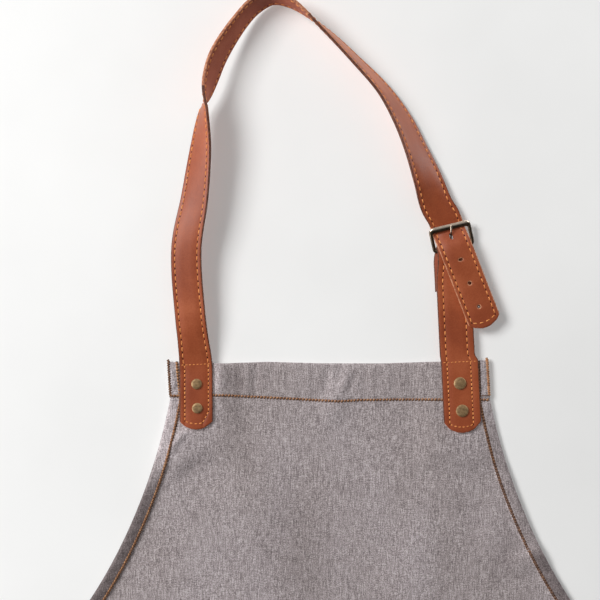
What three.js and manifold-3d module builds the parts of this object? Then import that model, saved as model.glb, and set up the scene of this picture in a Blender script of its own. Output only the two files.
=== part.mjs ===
// A bib apron of woven cloth with a buckled leather neck strap, laid face up on a flat surface.
// Millimetres, +Z up. Places are given from the middle of the bib's top edge, at the height of
// the surface: +X to the right of the apron as seen from above, +Y towards the neck.

import * as THREE from "three";
import { mergeVertices } from "three/addons/utils/BufferGeometryUtils.js";
import Module from "manifold-3d";

const wasm = await Module();
wasm.setup();

// Clearance between pieces that touch
const GAP = 0.3;
const DEGREE = Math.PI / 180;

// Fineness of curved routes and of drilled holes
const ROUTE_DIVISIONS = 600;
const DRILL_LENGTH = 20;
const DRILL_SIDES = 12;

// Cloth panel: the half width follows the arm curve from the bib down to the waist
const BIB_HALF = 123;
const BIB_TOP_LEFT = 124.8;
const BIB_TOP_RIGHT = 121.2;
const PANEL_LENGTH = 820;
const ARM_START = 29;
const ARM_DEPTH = 236;
const ARM_LEAN = 0.2;
const ARM_SWEEP = 129;
const WAIST_DEPTH = ARM_START + ARM_DEPTH;
const BAND_DEPTH = 27;
const SIDE_HEM = 9;
const BOTTOM_HEM = 25;
const HEM_SLOPE = 1.5;
const HEM_REACH_LIMIT = 30;
const CLOTH_THICKNESS = 1.1;
const HEM_THICKNESS = 2.2;
const ARM_ROWS = 22;
const SKIRT_ROWS = 14;
const INNER_COLUMNS = 20;

// Soft folds that lift the cloth: middle, direction of the ridge, size and height
const FOLDS = [
  { x: -113, y: -72, angle: 50, length: 60, halfWidth: 13, height: 2.4 },
  { x: 6, y: -28, angle: 64, length: 70, halfWidth: 14, height: 1.6 },
  { x: -56, y: -110, angle: 118, length: 190, halfWidth: 34, height: 1.8 },
  { x: 70, y: -150, angle: 70, length: 200, halfWidth: 36, height: 1.8 },
  { x: 158, y: -148, angle: 25, length: 70, halfWidth: 14, height: 2.0 },
  { x: -190, y: -560, angle: 84, length: 430, halfWidth: 52, height: 5.5 },
  { x: 165, y: -585, angle: 97, length: 380, halfWidth: 56, height: 5.0 },
  { x: 6, y: -345, angle: 88, length: 230, halfWidth: 48, height: 3.4 },
  { x: -205, y: -330, angle: 28, length: 150, halfWidth: 34, height: 3.2 },
  { x: 212, y: -338, angle: 154, length: 150, halfWidth: 34, height: 3.0 },
];

// Level places of the cloth that straps and ties are fastened to
const SEAT_TOP = 4.2;
const SEATS = [
  { x: -102.5, y: -28, halfX: 17, halfY: 36, fall: 22 },
  { x: 100.5, y: -29, halfX: 18, halfY: 37, fall: 22 },
  { x: -290, y: -287, halfX: 22, halfY: 20, fall: 34 },
  { x: 290, y: -287, halfX: 22, halfY: 20, fall: 34 },
];

// Leather straps
const LEATHER = 2.2;
const STRAP_WIDTH = 25.4;
const END_ARC = 16;
const END_BLEND = 26;
const STRAP_ON_SEAT = SEAT_TOP + GAP + LEATHER / 2;
const STRAP_COLUMNS = 6;

// Buckle: places in its own frame, which stands at the middle of the heel bar, +Y to the front bar
const BUCKLE_X = 95.05;
const BUCKLE_Y = 88.3;
const BUCKLE_TURN = 13.5 * DEGREE;
const BUCKLE_REACH = 16.5;
const BUCKLE_SIDE = 15;
const FRONT_CORNER = 3;
const HEEL_CORNER = 2;
const WIRE = 1.35;
const FRONT_BAR_HALF_WIDTH = 2.3;
const WIRE_SIDES = 10;
const CORNER_STEPS = 5;
const WRAP_RADIUS = WIRE + GAP + LEATHER / 2;
const WRAP_OUTSIDE = WRAP_RADIUS + LEATHER / 2;
const WRAP_OFF_SURFACE = 0.15;
const HEEL_HEIGHT = WRAP_OUTSIDE + WRAP_OFF_SURFACE;
const STRAP_UNDER_FRONT = 4.6;
const FRONT_HEIGHT = STRAP_UNDER_FRONT + LEATHER / 2 + GAP + WIRE;
const STRAP_OVER_HEEL = HEEL_HEIGHT + WRAP_OUTSIDE + GAP + LEATHER / 2;

// Prong: a bent wire whose eye goes round the heel bar; it leans to the right towards its point
const PRONG = 0.65;
const PRONG_SIDESTEP = -2.1;
const PRONG_LEAN = 0.2;
const EYE_RADIUS = WIRE + GAP + PRONG;
const EYE_FROM = 25;
const EYE_TO = 270;
const EYE_STEP = 24.5;
const PRONG_PATH = [
  { y: 4.2, z: HEEL_HEIGHT - EYE_RADIUS + 0.4 },
  { y: 7.2, z: 3.5 },
  { y: 9.6, z: 6.5 },
  { y: 12.6, z: 9.0 },
  { y: BUCKLE_REACH, z: FRONT_HEIGHT + WIRE + GAP + PRONG },
  { y: BUCKLE_REACH + 1.2, z: FRONT_HEIGHT + WIRE + GAP + PRONG - 0.05 },
];
const PRONG_STEPS = 20;
const SLOT_WIDTH = 3.4;
const SLOT_BACK = 5;
const SLOT_FRONT = 6;

// Neck strap: x and y of its middle line, its height, and its roll about its own length
// (0 lies flat with the face up, 90 stands on edge, beyond 90 the back looks up)
const NECK_ROWS = 88;
const NECK_STATIONS = [
  { x: -102.6, y: -51.2, z: STRAP_ON_SEAT, roll: 0 },
  { x: -102.7, y: -26, z: STRAP_ON_SEAT, roll: 0 },
  { x: -103, y: 0, z: STRAP_ON_SEAT + 0.3, roll: 0 },
  { x: -104.5, y: 15, z: 9.5, roll: 2 },
  { x: -106.6, y: 35, z: 13.5, roll: 8 },
  { x: -109.4, y: 87, z: 18, roll: 12 },
  { x: -103, y: 125.7, z: 20, roll: 28 },
  { x: -98.5, y: 162.8, z: 21, roll: 47 },
  { x: -96.2, y: 192, z: 21, roll: 73 },
  { x: -93.9, y: 203.8, z: 20.6, roll: 100 },
  { x: -91, y: 216.4, z: 20, roll: 114 },
  { x: -84.8, y: 234, z: 18.5, roll: 119 },
  { x: -68.4, y: 260.2, z: 15.4, roll: 113 },
  { x: -57, y: 272.6, z: 14, roll: 111 },
  { x: -44, y: 278.8, z: 13.4, roll: 106 },
  { x: -29.5, y: 274.4, z: 13.5, roll: 96 },
  { x: -3.7, y: 253.8, z: 13.6, roll: 78 },
  { x: 19.5, y: 231.1, z: 13.6, roll: 70.5 },
  { x: 40.9, y: 208.1, z: 13, roll: 63.5 },
  { x: 55.4, y: 185.3, z: 12.4, roll: 53.5 },
  { x: 65.8, y: 162.5, z: 11.2, roll: 44.5 },
  { x: 74.8, y: 139.8, z: 9, roll: 27 },
  { x: 81.5, y: 120.9, z: 6.4, roll: 8 },
  { ...onBuckle(-2.1, BUCKLE_REACH + 7), z: 5.2, roll: 2 },
  { ...onBuckle(-1.1, BUCKLE_REACH - 2.4), z: STRAP_UNDER_FRONT - GAP, roll: 0 },
  { ...onBuckle(0.6, 1.4), z: STRAP_OVER_HEEL + 0.1, roll: 0 },
  { x: 107.8, y: 58, z: STRAP_OVER_HEEL - 0.1, roll: 0 },
  { x: 119.8, y: 27.3, z: STRAP_OVER_HEEL - 0.6, roll: 0 },
];
// Its left leg is a little narrower than its two ends: width, and where it narrows and widens
const NECK_LEG_WIDTH = 23.6;
const NECK_NARROWS = { from: 46, to: 76 };
const NECK_WIDENS = { from: 270, to: 450 };

// Punched holes of the neck strap's tail, from its tip
const TIP_TO_HOLE = 16.9;
const HOLE_PITCH = 19.3;
const HOLE_COUNT = 4;
const HOLE_RADIUS = 1.35;
const PRONG_HOLE_HALF_LENGTH = 2.8;
const PRONG_HOLE_STEPS = 4;

// Buckle strap: from its lower end on the bib, over the heel bar and back under itself
const BUCKLE_STRAP_FOOT = { x: 101.9, y: -53.8 };
const BUCKLE_STRAP_FOOT_WIDTH = 28.6;
const BUCKLE_STRAP_WIDTH = 26.8;
const BUCKLE_STRAP_WRAP_WIDTH = 25.2;
const BUCKLE_STRAP_FOOT_LENGTH = 54.5;
const BUCKLE_STRAP_FOOT_STEP = 6;
const BUCKLE_STRAP_NARROWING = 26;
// Sideways: the strap above its foot, and where it goes round the heel bar
const BUCKLE_STRAP_SHIFT = -1.5;
const BUCKLE_STRAP_WRAP_SHIFT = -0.4;
const BUCKLE_STRAP_LEAN_FROM = 0.5;
const BUCKLE_STRAP_LEAN_MARGIN = 8;
const TURNED_BACK = 31;
const TURNED_BACK_SHIFT = -3.8;
const TURNED_BACK_SHIFT_END = 18;
const TURNED_BACK_HEIGHT = 2.6;
const WRAP_STEP = 22.5;
// Its middle line: share of the way to the heel bar, or distance back from that bar, and height
const STRAP_ON_BIB = [
  { share: 0, z: STRAP_ON_SEAT },
  { share: 0.2, z: STRAP_ON_SEAT },
  { share: 0.4, z: STRAP_ON_SEAT },
  { share: 0.65, z: STRAP_ON_SEAT - 0.2 },
];
const STRAP_TO_HEEL = [
  { back: 14, z: HEEL_HEIGHT + WRAP_RADIUS - 0.4 },
  { back: 5, z: HEEL_HEIGHT + WRAP_RADIUS },
];
const STRAP_PAST_HEEL = [
  { back: 5, z: HEEL_HEIGHT - WRAP_RADIUS + 0.1 },
  { back: 16, z: TURNED_BACK_HEIGHT },
  { back: TURNED_BACK, z: TURNED_BACK_HEIGHT },
];
const FLAT_ROWS = 20;
const WRAP_MARGIN = 6;
const WRAP_ROWS = 18;
const TURNED_ROWS = 5;

// Rivets through cloth and leather
const RIVETS = [
  { name: "rivet_left_upper", x: -102.3, y: -16.2, cloth: HEM_THICKNESS },
  { name: "rivet_left_lower", x: -101.8, y: -34.7, cloth: CLOTH_THICKNESS },
  { name: "rivet_right_upper", x: 99.4, y: -15.7, cloth: HEM_THICKNESS },
  { name: "rivet_right_lower", x: 101.1, y: -36.7, cloth: CLOTH_THICKNESS },
];
const RIVET_CAP_RADIUS = 4.5;
const RIVET_CAP_RIM = 0.6;
const RIVET_CAP_HEIGHT = 1.7;
const RIVET_BACK_RADIUS = 4;
const RIVET_BACK_HEIGHT = 1.2;
const RIVET_POST = 1.5;
const RIVET_SIDES = 16;
const DOME_STEPS = 4;

// Waist ties: the middle line of the right one on the surface
const TIE_WIDTH = 26;
const TIE_THICKNESS = 1.5;
const TIE_ROWS = 30;
const TIE_ROUTE = [
  { x: 281, y: -284 },
  { x: 306, y: -288 },
  { x: 334, y: -318 },
  { x: 347, y: -390 },
  { x: 341, y: -500 },
  { x: 345, y: -620 },
  { x: 336, y: -735 },
  { x: 343, y: -850 },
];

const CLOTH_FINISH = { color: 0x968d8a, roughness: 0.95, metalness: 0 };
const LEATHER_FINISH = { color: 0x94522f, roughness: 0.55, metalness: 0 };
const BRASS_FINISH = { color: 0x82664a, roughness: 0.4, metalness: 0.9 };
const BRONZE_FINISH = { color: 0x4a3a2c, roughness: 0.4, metalness: 0.9 };

const UP = new THREE.Vector3(0, 0, 1);

// A place given in the buckle's frame, seen from above
function onBuckle(x, y) {
  const cos = Math.cos(BUCKLE_TURN);
  const sin = Math.sin(BUCKLE_TURN);
  return { x: BUCKLE_X + x * cos - y * sin, y: BUCKLE_Y + x * sin + y * cos };
}

function smooth(value, from, to) {
  return THREE.MathUtils.smoothstep(value, from, to);
}

function spread(from, to, count) {
  return Array.from({ length: count + 1 }, (_, i) => THREE.MathUtils.lerp(from, to, i / count));
}

// A closed body through rings of points; open ends are capped across each ring
function loft(rings, closed = false) {
  const count = rings[0].length;
  const index = [];
  const lastRing = closed ? rings.length : rings.length - 1;
  for (let i = 0; i < lastRing; i++) {
    const here = i * count;
    const next = ((i + 1) % rings.length) * count;
    for (let k = 0; k < count; k++) {
      const turn = (k + 1) % count;
      index.push(here + k, next + k, here + turn);
      index.push(here + turn, next + k, next + turn);
    }
  }
  if (!closed) {
    index.push(...cap(0, count, false), ...cap((rings.length - 1) * count, count, true));
  }
  const geometry = new THREE.BufferGeometry();
  geometry.setAttribute("position", new THREE.Float32BufferAttribute(
    rings.flat().flatMap((point) => point.toArray()), 3));
  geometry.setIndex(index);
  return outward(geometry);
}

// Triangles across one ring, from side to side
function cap(start, count, flipped) {
  const index = [];
  let low = 0;
  let high = count - 1;
  while (low + 1 < high) {
    const near = [start + low, start + low + 1, start + high];
    index.push(...(flipped ? near.reverse() : near));
    low++;
    if (low + 1 < high) {
      const far = [start + low, start + high - 1, start + high];
      index.push(...(flipped ? far.reverse() : far));
      high--;
    }
  }
  return index;
}

// Turns the faces of a closed body outwards
function outward(geometry) {
  const index = geometry.index.array;
  const position = geometry.attributes.position;
  const corners = [new THREE.Vector3(), new THREE.Vector3(), new THREE.Vector3()];
  let volume = 0;
  for (let i = 0; i < index.length; i += 3) {
    corners.forEach((corner, k) => corner.fromBufferAttribute(position, index[i + k]));
    volume += corners[0].dot(corners[1].clone().cross(corners[2]));
  }
  if (volume < 0) {
    geometry.setIndex(Array.from(index).reverse());
  }
  return geometry;
}

function solidOf(geometry) {
  const bare = geometry.clone();
  bare.deleteAttribute("normal");
  bare.deleteAttribute("uv");
  const merged = mergeVertices(bare);
  return new wasm.Manifold(new wasm.Mesh({
    numProp: 3,
    vertProperties: new Float32Array(merged.attributes.position.array),
    triVerts: new Uint32Array(merged.index.array),
  }));
}

// The body without what the cutters take out of it
function cut(geometry, cutters) {
  const solid = cutters.reduce((rest, cutter) => rest.subtract(solidOf(cutter)), solidOf(geometry));
  const mesh = solid.getMesh();
  const result = new THREE.BufferGeometry();
  result.setAttribute("position", new THREE.BufferAttribute(new Float32Array(mesh.vertProperties), 3));
  result.setIndex(Array.from(mesh.triVerts));
  return result;
}

// A round cutter along a direction
function drill(point, direction, radius) {
  const cutter = new THREE.CylinderGeometry(radius, radius, DRILL_LENGTH, DRILL_SIDES);
  cutter.applyQuaternion(new THREE.Quaternion().setFromUnitVectors(new THREE.Vector3(0, 1, 0), direction));
  return cutter.translate(point.x, point.y, point.z);
}

function rivetDrills(names) {
  const chosen = RIVETS.filter((rivet) => names.includes(rivet.name));
  return chosen.map(({ x, y }) => drill(new THREE.Vector3(x, y, SEAT_TOP), UP, RIVET_POST + GAP));
}

function mesh(name, geometry, finish) {
  geometry.computeVertexNormals();
  const piece = new THREE.Mesh(geometry, new THREE.MeshStandardMaterial(finish));
  piece.name = name;
  return piece;
}

// Half width of the panel at a depth below the bib's top edge, and how fast it widens
function panelHalf(depth, topHalf) {
  if (depth <= ARM_START) {
    return { half: THREE.MathUtils.lerp(topHalf, BIB_HALF, depth / ARM_START), widening: 0 };
  }
  const along = Math.min((depth - ARM_START) / ARM_DEPTH, 1);
  const rest = Math.sqrt(1 - along * along);
  const half = BIB_HALF + ARM_LEAN * ARM_DEPTH * along + ARM_SWEEP * (1 - rest);
  const inCurve = depth <= WAIST_DEPTH;
  const widening = inCurve ? ARM_LEAN + (ARM_SWEEP / ARM_DEPTH) * (along / rest) : 0;
  return { half, widening };
}

function foldLift(x, y) {
  let lift = 0;
  for (const fold of FOLDS) {
    const cos = Math.cos(fold.angle * DEGREE);
    const sin = Math.sin(fold.angle * DEGREE);
    const along = (x - fold.x) * cos + (y - fold.y) * sin;
    const across = (y - fold.y) * cos - (x - fold.x) * sin;
    const reach = Math.hypot(along / (fold.length / 2), across / fold.halfWidth);
    lift += reach < 1 ? fold.height * (1 - reach * reach) ** 2 : 0;
  }
  return lift;
}

function seatShare(x, y) {
  const shares = SEATS.map((seat) => {
    const shareX = 1 - smooth(Math.abs(x - seat.x), seat.halfX, seat.halfX + seat.fall);
    const shareY = 1 - smooth(Math.abs(y - seat.y), seat.halfY, seat.halfY + seat.fall);
    return shareX * shareY;
  });
  return Math.max(...shares);
}

function panelDepths() {
  const hemTop = PANEL_LENGTH - BOTTOM_HEM;
  const curve = spread(0, 90, ARM_ROWS).map((angle) => ARM_START + ARM_DEPTH * Math.sin(angle * DEGREE));
  const skirt = spread(WAIST_DEPTH, hemTop, SKIRT_ROWS).slice(1);
  return [0, BAND_DEPTH - HEM_SLOPE, BAND_DEPTH, ...curve, ...skirt, hemTop + HEM_SLOPE, PANEL_LENGTH];
}

// The cloth, a wall that is double along its hems
function panelGeometry() {
  const rings = panelDepths().map((depth) => {
    const left = panelHalf(depth, BIB_TOP_LEFT);
    const right = panelHalf(depth, BIB_TOP_RIGHT);
    const hem = Math.min(SIDE_HEM * Math.hypot(1, left.widening), HEM_REACH_LIMIT);
    const inner = spread(-left.half + hem + HEM_SLOPE, right.half - hem - HEM_SLOPE, INNER_COLUMNS);
    const columns = [-left.half, hem - left.half, ...inner, right.half - hem, right.half];
    const hemRow = depth < BAND_DEPTH || depth > PANEL_LENGTH - BOTTOM_HEM;
    const top = [];
    const bottom = [];
    columns.forEach((x, k) => {
      const hemColumn = k < 2 || k > columns.length - 3;
      const thickness = hemRow || hemColumn ? HEM_THICKNESS : CLOTH_THICKNESS;
      const lying = thickness + foldLift(x, -depth);
      const height = THREE.MathUtils.lerp(lying, SEAT_TOP, seatShare(x, -depth));
      top.push(new THREE.Vector3(x, -depth, height));
      bottom.push(new THREE.Vector3(x, -depth, height - thickness));
    });
    return [...top, ...bottom.reverse()];
  });
  return cut(loft(rings), rivetDrills(RIVETS.map((rivet) => rivet.name)));
}

// A strap or tape: an even wall along a middle line, with rounded or square ends.
// frameAt gives the middle line's point, the direction across it and the face's direction.
function ribbon({ distances, columns, thickness, halfWidthAt, frameAt, rounded }) {
  const length = distances.at(-1);
  const rings = distances.map((base) => {
    const top = [];
    const bottom = [];
    for (const share of spread(1, -1, columns)) {
      const offset = share * halfWidthAt(base);
      const arc = END_ARC - Math.sqrt(END_ARC ** 2 - offset ** 2);
      const startShare = rounded.start ? Math.max(0, 1 - base / END_BLEND) : 0;
      const endShare = rounded.end ? Math.max(0, 1 - (length - base) / END_BLEND) : 0;
      const { point, across, face } = frameAt(base + arc * (startShare - endShare));
      const middle = point.clone().addScaledVector(across, offset);
      top.push(middle.clone().addScaledVector(face, thickness / 2));
      bottom.push(middle.clone().addScaledVector(face, -thickness / 2));
    }
    return [...top, ...bottom.reverse()];
  });
  return loft(rings);
}

function routeThrough(points) {
  const route = new THREE.CatmullRomCurve3(points, false, "centripetal");
  route.arcLengthDivisions = ROUTE_DIVISIONS;
  return route;
}

// Middle line of the neck strap with the directions across it and out of its face
function neckFrames() {
  const route = routeThrough(NECK_STATIONS.map(({ x, y, z }) => new THREE.Vector3(x, y, z)));
  const rolls = new THREE.SplineCurve(NECK_STATIONS.map(({ roll }) => new THREE.Vector2(roll, 0)));
  const length = route.getLength();
  const frameAt = (distance) => {
    const t = route.getUtoTmapping(THREE.MathUtils.clamp(distance / length, 0, 1));
    const tangent = route.getTangent(t);
    const right = tangent.clone().cross(UP).normalize();
    const rise = right.clone().cross(tangent);
    const roll = rolls.getPoint(t).x * DEGREE;
    return {
      point: route.getPoint(t),
      across: right.clone().multiplyScalar(Math.cos(roll)).addScaledVector(rise, Math.sin(roll)),
      face: rise.clone().multiplyScalar(Math.cos(roll)).addScaledVector(right, -Math.sin(roll)),
      tangent,
    };
  };
  return { length, frameAt };
}

function neckStrapGeometry() {
  const { length, frameAt } = neckFrames();
  const strap = ribbon({
    distances: spread(0, length, NECK_ROWS),
    columns: STRAP_COLUMNS,
    thickness: LEATHER,
    halfWidthAt: (distance) => {
      const narrowed = smooth(distance, NECK_NARROWS.from, NECK_NARROWS.to);
      const widened = smooth(distance, NECK_WIDENS.from, NECK_WIDENS.to);
      return THREE.MathUtils.lerp(STRAP_WIDTH, NECK_LEG_WIDTH, narrowed - widened) / 2;
    },
    frameAt,
    rounded: { start: true, end: true },
  });
  const cutters = rivetDrills(["rivet_left_upper", "rivet_left_lower"]);
  for (let i = 0; i < HOLE_COUNT; i++) {
    const { point, face, tangent } = frameAt(length - TIP_TO_HOLE - i * HOLE_PITCH);
    const cutter = drill(point, face, HOLE_RADIUS);
    const holdsProng = i === HOLE_COUNT - 1;
    if (holdsProng) {
      const slip = PRONG_HOLE_HALF_LENGTH - HOLE_RADIUS;
      for (const end of spread(-slip, slip, PRONG_HOLE_STEPS)) {
        const place = tangent.clone().multiplyScalar(end);
        cutters.push(cutter.clone().translate(place.x, place.y, place.z));
      }
    } else {
      cutters.push(cutter);
    }
  }
  return cut(strap, cutters);
}

// Middle line of the buckle strap: its distance from the foot, seen from above, and its height
function buckleStrapLine(heel) {
  const wrap = [];
  for (let angle = 90; angle >= -90; angle -= WRAP_STEP) {
    const along = heel + WRAP_RADIUS * Math.cos(angle * DEGREE);
    wrap.push(new THREE.Vector3(0, along, HEEL_HEIGHT + WRAP_RADIUS * Math.sin(angle * DEGREE)));
  }
  const backFromHeel = ({ back, z }) => new THREE.Vector3(0, heel - back, z);
  return routeThrough([
    ...STRAP_ON_BIB.map(({ share, z }) => new THREE.Vector3(0, heel * share, z)),
    ...STRAP_TO_HEEL.map(backFromHeel),
    ...wrap,
    ...STRAP_PAST_HEEL.map(backFromHeel),
  ]);
}

function buckleStrapGeometry() {
  const foot = new THREE.Vector3(BUCKLE_STRAP_FOOT.x, BUCKLE_STRAP_FOOT.y, 0);
  const run = new THREE.Vector3(BUCKLE_X, BUCKLE_Y, 0).sub(foot);
  const heel = run.length();
  const forward = run.clone().normalize();
  const right = forward.clone().cross(UP);
  const skew = Math.tan(BUCKLE_TURN - Math.atan2(-forward.x, forward.y));
  const line = buckleStrapLine(heel);
  const length = line.getLength();
  const footEnd = BUCKLE_STRAP_FOOT_LENGTH + BUCKLE_STRAP_FOOT_STEP;
  const aboveFoot = (distance) => smooth(distance, BUCKLE_STRAP_FOOT_LENGTH, footEnd);
  const atHeel = (distance) => smooth(distance, heel - BUCKLE_STRAP_NARROWING, heel - WRAP_MARGIN);
  const frameAt = (distance) => {
    const t = line.getUtoTmapping(THREE.MathUtils.clamp(distance / length, 0, 1));
    const place = line.getPoint(t);
    const slope = line.getTangent(t);
    const shiftAbove = BUCKLE_STRAP_SHIFT * aboveFoot(distance);
    const shift = THREE.MathUtils.lerp(shiftAbove, BUCKLE_STRAP_WRAP_SHIFT, atHeel(distance));
    const beyond = smooth(distance, heel, heel + TURNED_BACK_SHIFT_END);
    const lean = skew * smooth(distance, BUCKLE_STRAP_LEAN_FROM * heel, heel - BUCKLE_STRAP_LEAN_MARGIN);
    const tangent = forward.clone().multiplyScalar(slope.y).addScaledVector(UP, slope.z);
    return {
      point: foot.clone().addScaledVector(forward, place.y).addScaledVector(UP, place.z)
        .addScaledVector(right, shift + TURNED_BACK_SHIFT * beyond),
      across: right.clone().addScaledVector(forward, lean),
      face: right.clone().cross(tangent),
    };
  };
  const strap = ribbon({
    distances: [
      ...spread(0, heel - WRAP_MARGIN, FLAT_ROWS).slice(0, -1),
      ...spread(heel - WRAP_MARGIN, heel + 2 * WRAP_MARGIN, WRAP_ROWS),
      ...spread(heel + 2 * WRAP_MARGIN, length, TURNED_ROWS).slice(1),
    ],
    columns: STRAP_COLUMNS,
    thickness: LEATHER,
    halfWidthAt: (distance) => {
      const width = THREE.MathUtils.lerp(BUCKLE_STRAP_FOOT_WIDTH, BUCKLE_STRAP_WIDTH, aboveFoot(distance));
      return THREE.MathUtils.lerp(width, BUCKLE_STRAP_WRAP_WIDTH, atHeel(distance)) / 2;
    },
    frameAt,
    rounded: { start: true, end: false },
  });
  const slot = new THREE.BoxGeometry(SLOT_WIDTH, SLOT_BACK + SLOT_FRONT, 4 * HEEL_HEIGHT);
  slot.translate(PRONG_SIDESTEP, (SLOT_FRONT - SLOT_BACK) / 2, HEEL_HEIGHT);
  slot.rotateZ(BUCKLE_TURN);
  slot.translate(BUCKLE_X, BUCKLE_Y, 0);
  return cut(strap, [slot, ...rivetDrills(["rivet_right_upper", "rivet_right_lower"])]);
}

// Rings of a wire along points that lie in one plane: round, or wider in that plane
function wireRings(points, planeFace, radiusAt, closed, halfWidthAt = radiusAt) {
  const last = points.length - 1;
  return points.map((point, i) => {
    const before = points[closed ? (i + last) % points.length : Math.max(i - 1, 0)];
    const after = points[closed ? (i + 1) % points.length : Math.min(i + 1, last)];
    const tangent = after.clone().sub(before).normalize();
    const side = planeFace.clone().cross(tangent);
    return Array.from({ length: WIRE_SIDES }, (_, k) => {
      const angle = (2 * Math.PI * k) / WIRE_SIDES;
      return point.clone()
        .addScaledVector(side, halfWidthAt(i) * Math.cos(angle))
        .addScaledVector(planeFace, radiusAt(i) * Math.sin(angle));
    });
  });
}

// The buckle's frame: a closed wire that rises from the heel bar to a wider front bar
function frameGeometry() {
  const pitch = Math.asin((FRONT_HEIGHT - HEEL_HEIGHT) / BUCKLE_REACH);
  const corners = [
    { x: BUCKLE_SIDE, y: BUCKLE_REACH, radius: FRONT_CORNER, from: 0 },
    { x: -BUCKLE_SIDE, y: BUCKLE_REACH, radius: FRONT_CORNER, from: 90 },
    { x: -BUCKLE_SIDE, y: 0, radius: HEEL_CORNER, from: 180 },
    { x: BUCKLE_SIDE, y: 0, radius: HEEL_CORNER, from: 270 },
  ];
  const points = corners.flatMap(({ x, y, radius, from }) => {
    const middleX = x - Math.sign(x) * radius;
    const middleY = y > 0 ? y - radius : radius;
    return spread(from, from + 90, CORNER_STEPS).map((angle) => new THREE.Vector3(
      middleX + radius * Math.cos(angle * DEGREE), middleY + radius * Math.sin(angle * DEGREE), 0));
  });
  const halfWidthAt = (i) => {
    const atFront = smooth(points[i].y, BUCKLE_REACH - FRONT_CORNER, BUCKLE_REACH);
    return THREE.MathUtils.lerp(WIRE, FRONT_BAR_HALF_WIDTH, atFront);
  };
  const rings = wireRings(points, UP, () => WIRE, true, halfWidthAt);
  return loft(rings, true).rotateX(pitch).translate(0, 0, HEEL_HEIGHT);
}

function prongGeometry() {
  const eye = [];
  for (let angle = EYE_FROM; angle <= EYE_TO; angle += EYE_STEP) {
    const y = EYE_RADIUS * Math.cos(angle * DEGREE);
    const z = HEEL_HEIGHT + EYE_RADIUS * Math.sin(angle * DEGREE);
    eye.push(new THREE.Vector3(PRONG_SIDESTEP + PRONG_LEAN * y, y, z));
  }
  const shank = PRONG_PATH.map(({ y, z }) => new THREE.Vector3(PRONG_SIDESTEP + PRONG_LEAN * y, y, z));
  const bend = routeThrough([...eye.slice(-2), ...shank]);
  const points = [...eye.slice(0, -2), ...bend.getPoints(PRONG_STEPS)];
  const last = points.length - 1;
  return loft(wireRings(points, new THREE.Vector3(1, 0, 0), (i) => (i === last ? PRONG / 2 : PRONG), false));
}

function rivetGeometry(cloth) {
  const under = SEAT_TOP - cloth - GAP;
  const over = STRAP_ON_SEAT + LEATHER / 2 + GAP;
  const dome = spread(0, 90, DOME_STEPS).map((angle) => new THREE.Vector2(
    RIVET_CAP_RADIUS * Math.cos(angle * DEGREE),
    over + RIVET_CAP_RIM + (RIVET_CAP_HEIGHT - RIVET_CAP_RIM) * Math.sin(angle * DEGREE)));
  dome[DOME_STEPS].x = 0;
  const profile = [
    new THREE.Vector2(0, under - RIVET_BACK_HEIGHT),
    new THREE.Vector2(RIVET_BACK_RADIUS, under - RIVET_BACK_HEIGHT),
    new THREE.Vector2(RIVET_BACK_RADIUS, under),
    new THREE.Vector2(RIVET_POST, under),
    new THREE.Vector2(RIVET_POST, over),
    new THREE.Vector2(RIVET_CAP_RADIUS, over),
    ...dome,
  ];
  return outward(new THREE.LatheGeometry(profile, RIVET_SIDES)).rotateX(Math.PI / 2);
}

function tieGeometry(side) {
  const route = routeThrough(TIE_ROUTE.map(({ x, y }) => new THREE.Vector3(side * x, y, TIE_THICKNESS / 2)));
  const length = route.getLength();
  return ribbon({
    distances: spread(0, length, TIE_ROWS),
    columns: 1,
    thickness: TIE_THICKNESS,
    halfWidthAt: () => TIE_WIDTH / 2,
    frameAt: (distance) => {
      const share = distance / length;
      return {
        point: route.getPointAt(share),
        across: route.getTangentAt(share).cross(UP),
        face: UP,
      };
    },
    rounded: { start: false, end: false },
  });
}

const buckle = new THREE.Group();
buckle.position.set(BUCKLE_X, BUCKLE_Y, 0);
buckle.rotation.z = BUCKLE_TURN;
buckle.add(mesh("buckle_frame", frameGeometry(), BRONZE_FINISH));
buckle.add(mesh("buckle_prong", prongGeometry(), BRONZE_FINISH));

const apron = new THREE.Group();
apron.add(mesh("apron_panel", panelGeometry(), CLOTH_FINISH));
apron.add(mesh("neck_strap", neckStrapGeometry(), LEATHER_FINISH));
apron.add(mesh("buckle_strap", buckleStrapGeometry(), LEATHER_FINISH));
apron.add(buckle);
for (const { name, x, y, cloth } of RIVETS) {
  const rivet = mesh(name, rivetGeometry(cloth), BRASS_FINISH);
  rivet.position.set(x, y, 0);
  apron.add(rivet);
}
apron.add(mesh("waist_tie_left", tieGeometry(-1), CLOTH_FINISH));
apron.add(mesh("waist_tie_right", tieGeometry(1), CLOTH_FINISH));

// The origin lies under the middle of the whole apron
const bounds = new THREE.Box3().setFromObject(apron);
const middle = bounds.getCenter(new THREE.Vector3());
apron.position.set(-middle.x, -middle.y, -bounds.min.z);

const part = new THREE.Group();
part.add(apron);

export default part;
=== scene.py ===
from collections import namedtuple
import math

import bmesh
import bpy
import numpy as np
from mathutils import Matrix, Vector, kdtree


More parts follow.
